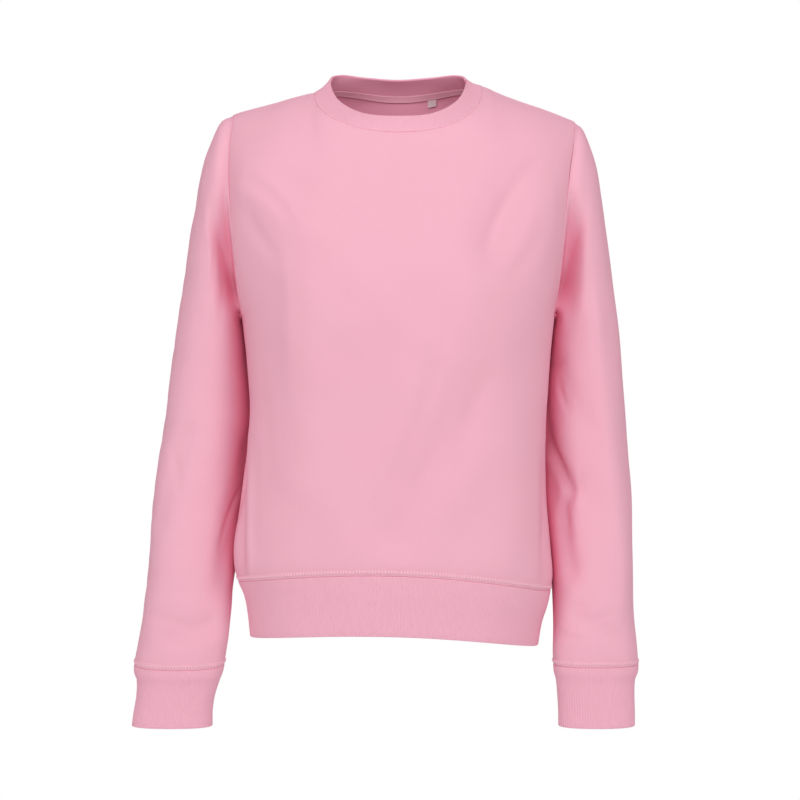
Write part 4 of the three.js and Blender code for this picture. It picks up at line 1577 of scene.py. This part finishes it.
@dataclass
class BodyPanel:
    """The front or back of the body, from neckline and shoulder seams to the hem seam."""

    face: Face
    folds: tuple[Fold, ...]
    cut: Cut
    ripple: Ripple
    gathers: Gathers
    neck_columns: int = 72
    shoulder_columns: int = 24
    side_width: float = 225.0
    upper_rows: int = 52
    upper_length: float = 250.0
    lower_rows: int = 60
    lower_length: float = 300.0
    fold_fade: tuple[float, float, float] = (32.0, 34.0, 40.0)
    crease_fade: tuple[float, float, float] = (9.0, 20.0, 9.0)

    def cloth(self) -> Cloth:
        """Lay the panel out as a grid of points and fold it.

        Returns:
            The panel's cloth, with its folds raised.
        """
        edge = 1 - np.array(SEAM_ROWS) / self.side_width
        shoulder = np.linspace(edge[-1], NECK_SHARE, self.shoulder_columns + 2)[1:-1]
        half = np.concatenate([edge, shoulder])
        neck = np.linspace(-NECK_SHARE, NECK_SHARE, self.neck_columns + 1)
        share = np.concatenate([-half, neck, half[::-1]])

        def surface(across: Points, down: Points) -> Points:
            """The panel's surface by share across and place down."""
            return panel_points(self.face, across, down)

        top = places_with_fine_ends(self.upper_rows, self.upper_length, last=False)
        bottom = places_with_fine_ends(self.lower_rows, self.lower_length, first=False)
        upper = even_rows(surface, share, (0.0, 1.0), top)
        lower = even_rows(surface, share, (1.0, 2.0), bottom)
        down = np.concatenate([upper, lower[1:]])
        cloth = Cloth(surface(np.broadcast_to(share, down.shape), down), False, FLEECE, Edges())
        x, z = cloth.points[..., 0], cloth.points[..., 2]
        cloth.flat = self._flat_places(x, z)
        distances = tuple(cloth.from_edge(edge) for edge in ("side", "top", "bottom"))
        wide, narrow = fade_in(distances, self.fold_fade), fade_in(distances, self.crease_fade)
        soft_height, crease_height = fold_heights(self.folds, x, z)
        height = (soft_height + self.ripple.at(x, z)) * wide + crease_height * narrow
        bottom = distances[-1]
        cloth.raise_by(height + self.gathers.at(x, bottom) + needle_groove(bottom))
        return cloth

    def _flat_places(self, x: Points, z: Points) -> Points:
        """Places on the flat cloth: round the section for the width, and over the shoulder for the height.

        Args:
            x: The places' x.
            z: The places' z.

        Returns:
            The places on the flat cloth.
        """
        around = np.arcsin(np.clip(x / full_half(z, x), -1, 1)) * 2 / math.pi
        shoulder = self.face.value
        below = np.clip((ridge_z(x) - z) / shoulder, 0, 1)
        over = shoulder * (np.arcsin(1 - below) - (1 - below))
        return np.stack([self.side_width * around, z + over], -1)

    def build(self, cloth: Cloth, wardrobe: Wardrobe) -> None:
        """Make the panel in the place of its node."""
        name = self.face.name.lower()
        dress(cloth.build(name + "_panel"), name, "fleece", wardrobe)


@dataclass
class Sleeve:
    """A set-in sleeve, from the armhole seam to the cuff seam."""

    arm: Arm
    folds: tuple[Fold, ...]
    cut: Cut
    ripple: Ripple
    gathers: Gathers
    columns: int = 128
    rows: int = 112
    length: float = 560.0
    measured_station: float = 4.0
    mm_to_degree: float = 0.9
    fold_fade: tuple[float, float] = (80.0, 45.0)
    crease_fade: tuple[float, float] = (9.0, 9.0)
    seam_dip: float = 1.0
    dip_start: float = 3.0
    dip_end: float = 5.0
    dip_fade: float = 8.0
    tuck_depth: float = 32.0
    tuck_reach: float = 25.0
    tuck_start: float = 6.0
    tuck_top: float = -100.0
    tuck_fade: float = 85.0
    tuck_gap: float = 0.05
    tuck_turn: float = 0.8
    tuck_back_share: float = 0.7

    def cloth(self) -> Cloth:
        """Lay the sleeve out as a grid of points and fold it.

        Returns:
            The sleeve's cloth, with its folds raised.
        """

        def surface(turn: Points, station: Points) -> Points:
            """The sleeve's surface by turn and station."""
            return sleeve_points(self.arm, station, turn)

        def measured_ring(turn: Points) -> Points:
            """The ring that the columns are spaced evenly on."""
            return surface(turn, np.full_like(turn, self.measured_station))

        turns = even_columns(measured_ring, 2 * math.pi, self.columns)
        places = places_with_fine_ends(self.rows, self.length)
        station = even_rows(surface, turns, (0.0, CUFF_STATION), places)
        turn = np.broadcast_to(turns, station.shape)
        cloth = Cloth(surface(turn, station), True, FLEECE, Edges())
        around, z = np.degrees(turn) * self.mm_to_degree, cloth.points[..., 2]
        distances = tuple(cloth.from_edge(edge) for edge in ("top", "bottom"))
        wide, narrow = fade_in(distances, self.fold_fade), fade_in(distances, self.crease_fade)
        soft_height, crease_height = fold_heights(self.folds, around, z)
        height = (soft_height + self.ripple.at(around, z)) * wide + crease_height * narrow
        away, seam_turn, seam_z = self._beside_seam(cloth.points)
        bottom = distances[-1]
        dip_end = smooth((away - self.dip_end) / self.dip_fade)
        dip = self.seam_dip * smooth(away / self.dip_start) * (1 - dip_end)
        height += self.gathers.at(around, bottom) - dip
        cloth.points[..., 1] += self._tuck(away, seam_turn, seam_z)
        cloth.raise_by(height + needle_groove(bottom))
        return cloth

    def _beside_seam(self, points: Points) -> tuple[Points, Points, Points]:
        """Measure each point from the armhole seam.

        Args:
            points: The sleeve's points.

        Returns:
            Each point's distance from the seam, and the turn and the height of the seam's nearest point.
        """
        turn = np.linspace(0, 2 * math.pi, MEASURED_SEAM)
        seam = armhole_points(self.arm, turn)
        tree = KDTree(len(seam))
        for index, point in enumerate(seam):
            tree.insert(point, index)
        tree.balance()
        found = [tree.find(point) for point in points.reshape(-1, 3)]
        away = np.array([distance for _, _, distance in found]).reshape(points.shape[:2])
        nearest = np.array([index for _, index, _ in found]).reshape(points.shape[:2])
        return away, turn[nearest], seam[nearest, 2]

    def _tuck(self, away: Points, turn: Points, seam_z: Points) -> Points:
        """How far the sleeve is tucked in behind the panel's edge above the underarm.

        Args:
            away: Each point's distance from the armhole seam.
            turn: The turn of the seam's nearest point.
            seam_z: The height of the seam's nearest point.

        Returns:
            How far each point moves: back where it is in front, and forward where it is behind.
        """
        low = smooth((self.tuck_top - seam_z) / self.tuck_fade)
        low = low * smooth((np.abs(turn - math.pi) - self.tuck_gap) / self.tuck_turn)
        beyond = away - self.tuck_start
        near = smooth(away / self.tuck_start)
        depth = self.tuck_depth * low * near * (1 - smooth(beyond / self.tuck_reach))
        return depth * np.where(turn < math.pi, 1.0, -self.tuck_back_share)

    def build(self, cloth: Cloth, wardrobe: Wardrobe) -> None:
        """Make the sleeve in the place of its node."""
        name = "sleeve_" + self.arm.name.lower()
        dress(cloth.build(name + "_cloth"), name, "fleece", wardrobe)


@dataclass
class RibBand:
    """A knitted band folded double: its ribs run down it and its free edge is the fold."""

    node: str
    surface: Surface
    span: float
    cut: Cut
    ribs: int
    height: float
    ends: tuple[float, float] = (0.0, 1.0)
    rows: int = 8
    rise: float = 0.15
    free_top: bool = False
    columns_in_rib: int = 6

    def cloth(self) -> Cloth:
        """Lay the band out as a grid of points, a few columns to a rib.

        Returns:
            The band's cloth, before its ribs are raised.
        """
        count = self.ribs * self.columns_in_rib
        middle = (self.ends[0] + self.ends[1]) / 2

        def middle_line(around: Points) -> Points:
            """The line round the band's middle that the columns are spaced evenly on."""
            return self.surface(around, np.full_like(around, middle))

        around = even_columns(middle_line, self.span, count)
        places = places_with_fine_ends(self.rows, self.height, not self.free_top, self.free_top)
        start, end = self.ends
        down = start + (end - start) * places[:, None]
        shape = (len(places), count)
        points = self.surface(np.broadcast_to(around, shape), np.broadcast_to(down, shape))
        edges = Edges(top=not self.free_top, bottom=self.free_top)
        return Cloth(points, True, RIB_BAND, edges)

    def build(self, cloth: Cloth, wardrobe: Wardrobe) -> None:
        """Make the band in the place of its node, and raise its ribs.

        Args:
            cloth: The band's cloth.
            wardrobe: The finishes and node trees.
        """
        thing = cloth.build(self.node + "_knit", self.ribs)
        bake_nodes(thing, wardrobe.ribs, rise=self.rise * MM, material=wardrobe.materials["rib"])
        dress(thing, self.node, "rib", wardrobe)


@dataclass
class NeckLining:
    """The tape over the back neck seam, inside, and the blank size label that hangs from it."""

    tape_cut: Cut
    label_cut: Cut
    tape_width: float = 9.0
    tape_half: float = 84.0
    gap: float = 0.3
    label_left: float = 33.5
    label_width: float = 10.0
    label_height: float = 9.0
    tape_grid: tuple[int, int] = (9, 140)
    label_grid: tuple[int, int] = (12, 12)

    def _patch(
        self, back: Cloth, x_range: tuple[float, float], columns: int, down: Points, thickness: float
    ) -> Cloth:
        """Lay a patch on the inside of the back.

        Args:
            back: The back panel's cloth.
            x_range: Where it starts and ends across.
            columns: How many columns it has.
            down: How far below the seam each row lies.
            thickness: Its thickness.

        Returns:
            The patch's cloth.
        """
        rows = [back.line("top", max(distance, 0.01)) for distance in down]
        across = np.linspace(*x_range, columns)
        points, normals = [], []
        for place, normal in rows:
            inside = place - normal * (FLEECE + LINING_GAP)
            order = np.argsort(place[:, 0])
            spot = [np.interp(across, place[order, 0], inside[order, axis]) for axis in range(3)]
            lean = [np.interp(across, place[order, 0], normal[order, axis]) for axis in range(3)]
            points.append(np.stack(spot, -1))
            normals.append(np.stack(lean, -1))
        return Cloth(np.stack(points), False, thickness, Edges(roll=0.0), np.stack(normals))

    def build(self, back: Cloth, wardrobe: Wardrobe) -> Cloth:
        """Make the tape and the label in the place of their nodes.

        Args:
            back: The back panel's cloth.
            wardrobe: The finishes and node trees.

        Returns:
            The tape's cloth.
        """
        rows, columns = self.tape_grid
        down = np.linspace(self.gap, self.tape_width, rows)
        tape = self._patch(back, (-self.tape_half, self.tape_half), columns, down, TAPE)
        dress(tape.build("neck_tape_strip"), "neck_tape", "tape", wardrobe)
        under = self.tape_width + self.gap
        rows, columns = self.label_grid
        down = np.linspace(under, under + self.label_height, rows)
        sides = (self.label_left, self.label_left + self.label_width)
        label = self._patch(back, sides, columns, down, LABEL)
        dress(label.build("size_label_cloth"), "size_label", "label", wardrobe)
        return tape


@dataclass
class Stitching:
    """Lines of needle stitches beside the seams."""

    name: str
    pitch: float = 3.4
    length: float = 2.4
    width: float = 0.9
    height: float = 0.7
    lines: list[tuple[Points, Points, bool]] = field(default_factory=list)

    def along(
        self, cloth: Cloth, edge: str, distances: tuple[float, ...], closed: bool, half: float = math.inf
    ) -> None:
        """Add lines beside one edge of a cloth.

        Args:
            cloth: The cloth that is sewn.
            edge: Which edge: top, bottom, first or last.
            distances: How far each line lies from the edge.
            closed: Whether the lines run all round.
            half: How far to each side of the middle the lines go.
        """
        for distance in distances:
            points, normals = cloth.line(edge, distance)
            kept = np.abs(points[:, 0]) < half
            self.lines.append((points[kept] + normals[kept] * THREAD_LIFT, normals[kept], closed))

    def inside(self, cloth: Cloth, distances: tuple[float, ...]) -> None:
        """Add lines on the inner face of a cloth.

        Args:
            cloth: The cloth that is sewn.
            distances: How far each line lies from its top.
        """
        for distance in distances:
            points, normals = cloth.line("top", distance)
            self.lines.append((points - normals * (cloth.thickness + THREAD_LIFT), -normals, False))

    def build(self, wardrobe: Wardrobe) -> None:
        """Sew all of the lines as one piece.

        Args:
            wardrobe: The finishes and node trees.
        """
        corners, normals, edges = [], [], []
        start = 0
        for points, normal, closed in self.lines:
            count = len(points)
            corners.append(points)
            normals.append(normal)
            edges += [(start + i, start + i + 1) for i in range(count - 1)]
            if closed:
                edges.append((start + count - 1, start))
            start += count
        mesh = bpy.data.meshes.new(self.name)
        mesh.from_pydata((np.concatenate(corners) * MM).tolist(), edges, [])
        add_attribute(mesh, "surface_normal", np.concatenate(normals))
        thing = bpy.data.objects.new(self.name, mesh)
        bpy.context.collection.objects.link(thing)
        bake_nodes(
            thing,
            wardrobe.stitches,
            pitch=self.pitch * MM,
            length=self.length * MM,
            width=self.width * MM,
            height=self.height * MM,
            material=wardrobe.materials["thread"],
        )
        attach(thing, "root")
        log.info("%s: %d faces", thing.name, len(thing.data.polygons))


def sew(cloths: dict[Face | Arm | str, Cloth], tape: Cloth, wardrobe: Wardrobe) -> None:
    """Sew the seams: two needle rows joined by rungs at hem and cuffs, and one row at the neck.

    Args:
        cloths: The sewn pieces, by panel, arm or band.
        tape: The neck tape's cloth.
        wardrobe: The finishes and node trees.
    """
    rows = {name: Stitching(name + "_stitches") for name in ("hem", "cuff")}
    rungs = {name: Stitching(name + "_rungs", length=1.4, width=4.4, height=0.7) for name in rows}
    neck = Stitching("neck_stitches", pitch=2.9, length=2.1, width=0.8)
    for name, owners in (("hem", Face), ("cuff", Arm)):
        for owner in owners:
            closed = owner in Arm
            rows[name].along(cloths[owner], "bottom", NEEDLE_ROWS, closed)
            rungs[name].along(cloths[owner], "bottom", (sum(NEEDLE_ROWS) / 2,), closed)
    for face in Face:
        neck.along(cloths[face], "top", (NECK_ROW,), False, NECK_HALF - 1)
    neck.inside(tape, TAPE_ROWS)
    for stitching in (*rows.values(), *rungs.values(), neck):
        stitching.build(wardrobe)


@dataclass
class Studio:
    """The floor, the light and the camera."""

    camera: tuple[float, float, float] = (0.0022, -3.0, -0.34)
    lens: float = 122.727
    sensor_width: float = 36.0
    lamps_aim_z: float = -0.3
    floor_z: float = -1.42
    floor_half: float = 2.6
    floor_shade: float = 0.86
    floor_roughness: float = 0.8
    ambient: float = 0.41
    ambient_tint: tuple[float, float, float] = (1.0, 0.88, 0.93)
    side_energy: float = 26.0
    front_energy: float = 18.0
    rear_energy: float = 44.0
    top_energy: float = 9.0

    def build(self) -> None:
        """Set up all of it."""
        scene = bpy.context.scene
        scene.view_settings.view_transform = "Standard"
        scene.world = self._world()
        eye = bpy.data.cameras.new("camera")
        eye.lens = self.lens
        eye.sensor_width = self.sensor_width
        camera = bpy.data.objects.new("camera", eye)
        camera.location = self.camera
        camera.rotation_euler = (math.pi / 2, 0, 0)
        bpy.context.collection.objects.link(camera)
        scene.camera = camera
        self._floor()
        self._lamp("left softbox", (2.6, -2.8, 0.8), 1.4, self.side_energy)
        self._lamp("right softbox", (-2.6, -2.8, 0.8), 1.4, self.side_energy)
        self._lamp("front softbox", (0.0, -3.6, 1.0), 1.0, self.front_energy)
        self._lamp("top softbox", (0.0, -1.5, 1.4), 1.0, self.top_energy)
        self._lamp("rear softbox", (0.3, 3.2, 1.4), 1.8, self.rear_energy)

    def _world(self) -> bpy.types.World:
        """A white backdrop that gives less light than it shows, as a lit paper sweep does.

        Returns:
            The world.
        """
        world = bpy.data.worlds.new("studio")
        world.use_nodes = True
        write = Writer(world.node_tree)
        backdrop = world.node_tree.nodes["Background"]
        seen = write.add("ShaderNodeLightPath").outputs["Is Camera Ray"]
        light = tuple(self.ambient * share for share in self.ambient_tint)
        write.feed(backdrop.inputs["Color"], write.mixed(seen, (*light, 1), (1, 1, 1, 1)))
        return world

    def _floor(self) -> None:
        """A plain pale floor where a wearer would stand."""
        half, z = self.floor_half, self.floor_z
        mesh = bpy.data.meshes.new("floor")
        corners = [(-half, -half, z), (half, -half, z), (half, half, z), (-half, half, z)]
        mesh.from_pydata(corners, [], [(0, 1, 2, 3)])
        paint = bpy.data.materials.new("floor paint")
        paint.use_nodes = True
        shader = paint.node_tree.nodes["Principled BSDF"]
        shader.inputs["Base Color"].default_value = (*[self.floor_shade] * 3, 1)
        shader.inputs["Roughness"].default_value = self.floor_roughness
        mesh.materials.append(paint)
        floor = bpy.data.objects.new("floor", mesh)
        bpy.context.collection.objects.link(floor)

    def _lamp(self, name: str, place: tuple[float, float, float], size: float, energy: float) -> None:
        """Set up a large soft lamp that faces the middle of the garment.

        Args:
            name: Its name.
            place: Where it stands.
            size: How wide it is.
            energy: Its power in watts.
        """
        lamp = bpy.data.lights.new(name, "AREA")
        lamp.shape = "DISK"
        lamp.size = size
        lamp.energy = energy
        thing = bpy.data.objects.new(name, lamp)
        thing.location = place
        aim = Vector((0, 0, self.lamps_aim_z)) - Vector(place)
        thing.rotation_euler = aim.to_track_quat("-Z", "Y").to_euler()
        bpy.context.collection.objects.link(thing)


def hem_gathers(seed: int) -> Gathers:
    """The puckers of a panel above the hem band."""
    return Gathers((-160, 161, 17.0), deepest=0.65, widest=8.0, reach=45.0, seed=seed)


def cuff_gathers(seed: int) -> Gathers:
    """The puckers of a sleeve above its cuff."""
    return Gathers((8, 320, 14.0), deepest=0.7, widest=7.0, reach=34.0, seed=seed)


PANELS = (
    BodyPanel(Face.FRONT, FRONT_FOLDS, Cut(0.45, 0.60, 0.2298), Ripple(0.8, 50, 150, 7), hem_gathers(11)),
    BodyPanel(Face.BACK, BACK_FOLDS, Cut(0.45, 0.60, 0.2386), Ripple(0.9, 50, 150, 8), hem_gathers(12)),
)
SLEEVES = (
    Sleeve(
        Arm.RIGHT, SLEEVE_FOLDS[Arm.RIGHT], Cut(0.36, 0.60, 0.1474), Ripple(0.7, 40, 120, 9), cuff_gathers(20)
    ),
    Sleeve(
        Arm.LEFT, SLEEVE_FOLDS[Arm.LEFT], Cut(0.36, 0.60, 0.1436), Ripple(0.7, 40, 120, 10), cuff_gathers(22)
    ),
)


def cuff(arm: Arm, ribs: int, cut: Cut) -> RibBand:
    """The cuff of one sleeve.

    Args:
        arm: The sleeve that it is on.
        ribs: How many ribs it has.
        cut: Its flat size.

    Returns:
        The cuff.
    """

    def surface(turn: Points, station: Points) -> Points:
        """The cuff's surface by turn and station."""
        return ring_points(arm, station, turn)

    ends = (CUFF_STATION, LAST_STATION)
    return RibBand("cuff_" + arm.name.lower(), surface, 2 * math.pi, cut, ribs, height=66, ends=ends)


BANDS = (
    RibBand("collar", collar_points, 4, Cut(0.56, 0.04, 0.01125), ribs=193, height=20, free_top=True),
    RibBand("hem_band", hem_points, 4, Cut(1.02, 0.062, 0.05505), ribs=345, height=55, columns_in_rib=5),
    cuff(Arm.RIGHT, 76, Cut(0.26, 0.07, 0.01555)),
    cuff(Arm.LEFT, 74, Cut(0.25, 0.07, 0.01515)),
)


def main() -> None:
    """Build the garment and its studio."""
    logging.basicConfig(level=logging.INFO, format="%(message)s")
    Studio().build()
    wardrobe = Wardrobe()
    wardrobe.fill()
    cloths = {panel.face: panel.cloth() for panel in PANELS}
    cloths.update({sleeve.arm: sleeve.cloth() for sleeve in SLEEVES})
    cloths.update({band.node: band.cloth() for band in BANDS})
    weld_seams(list(cloths.values()))
    for panel in PANELS:
        panel.build(cloths[panel.face], wardrobe)
    for sleeve in SLEEVES:
        sleeve.build(cloths[sleeve.arm], wardrobe)
    for band in BANDS:
        band.build(cloths[band.node], wardrobe)
    lining = NeckLining(Cut(0.215, 0.01, 0.0019), Cut(0.01, 0.01, 0.0001))
    tape = lining.build(cloths[Face.BACK], wardrobe)
    sew(cloths, tape, wardrobe)


if __name__ == "__main__":
    main()
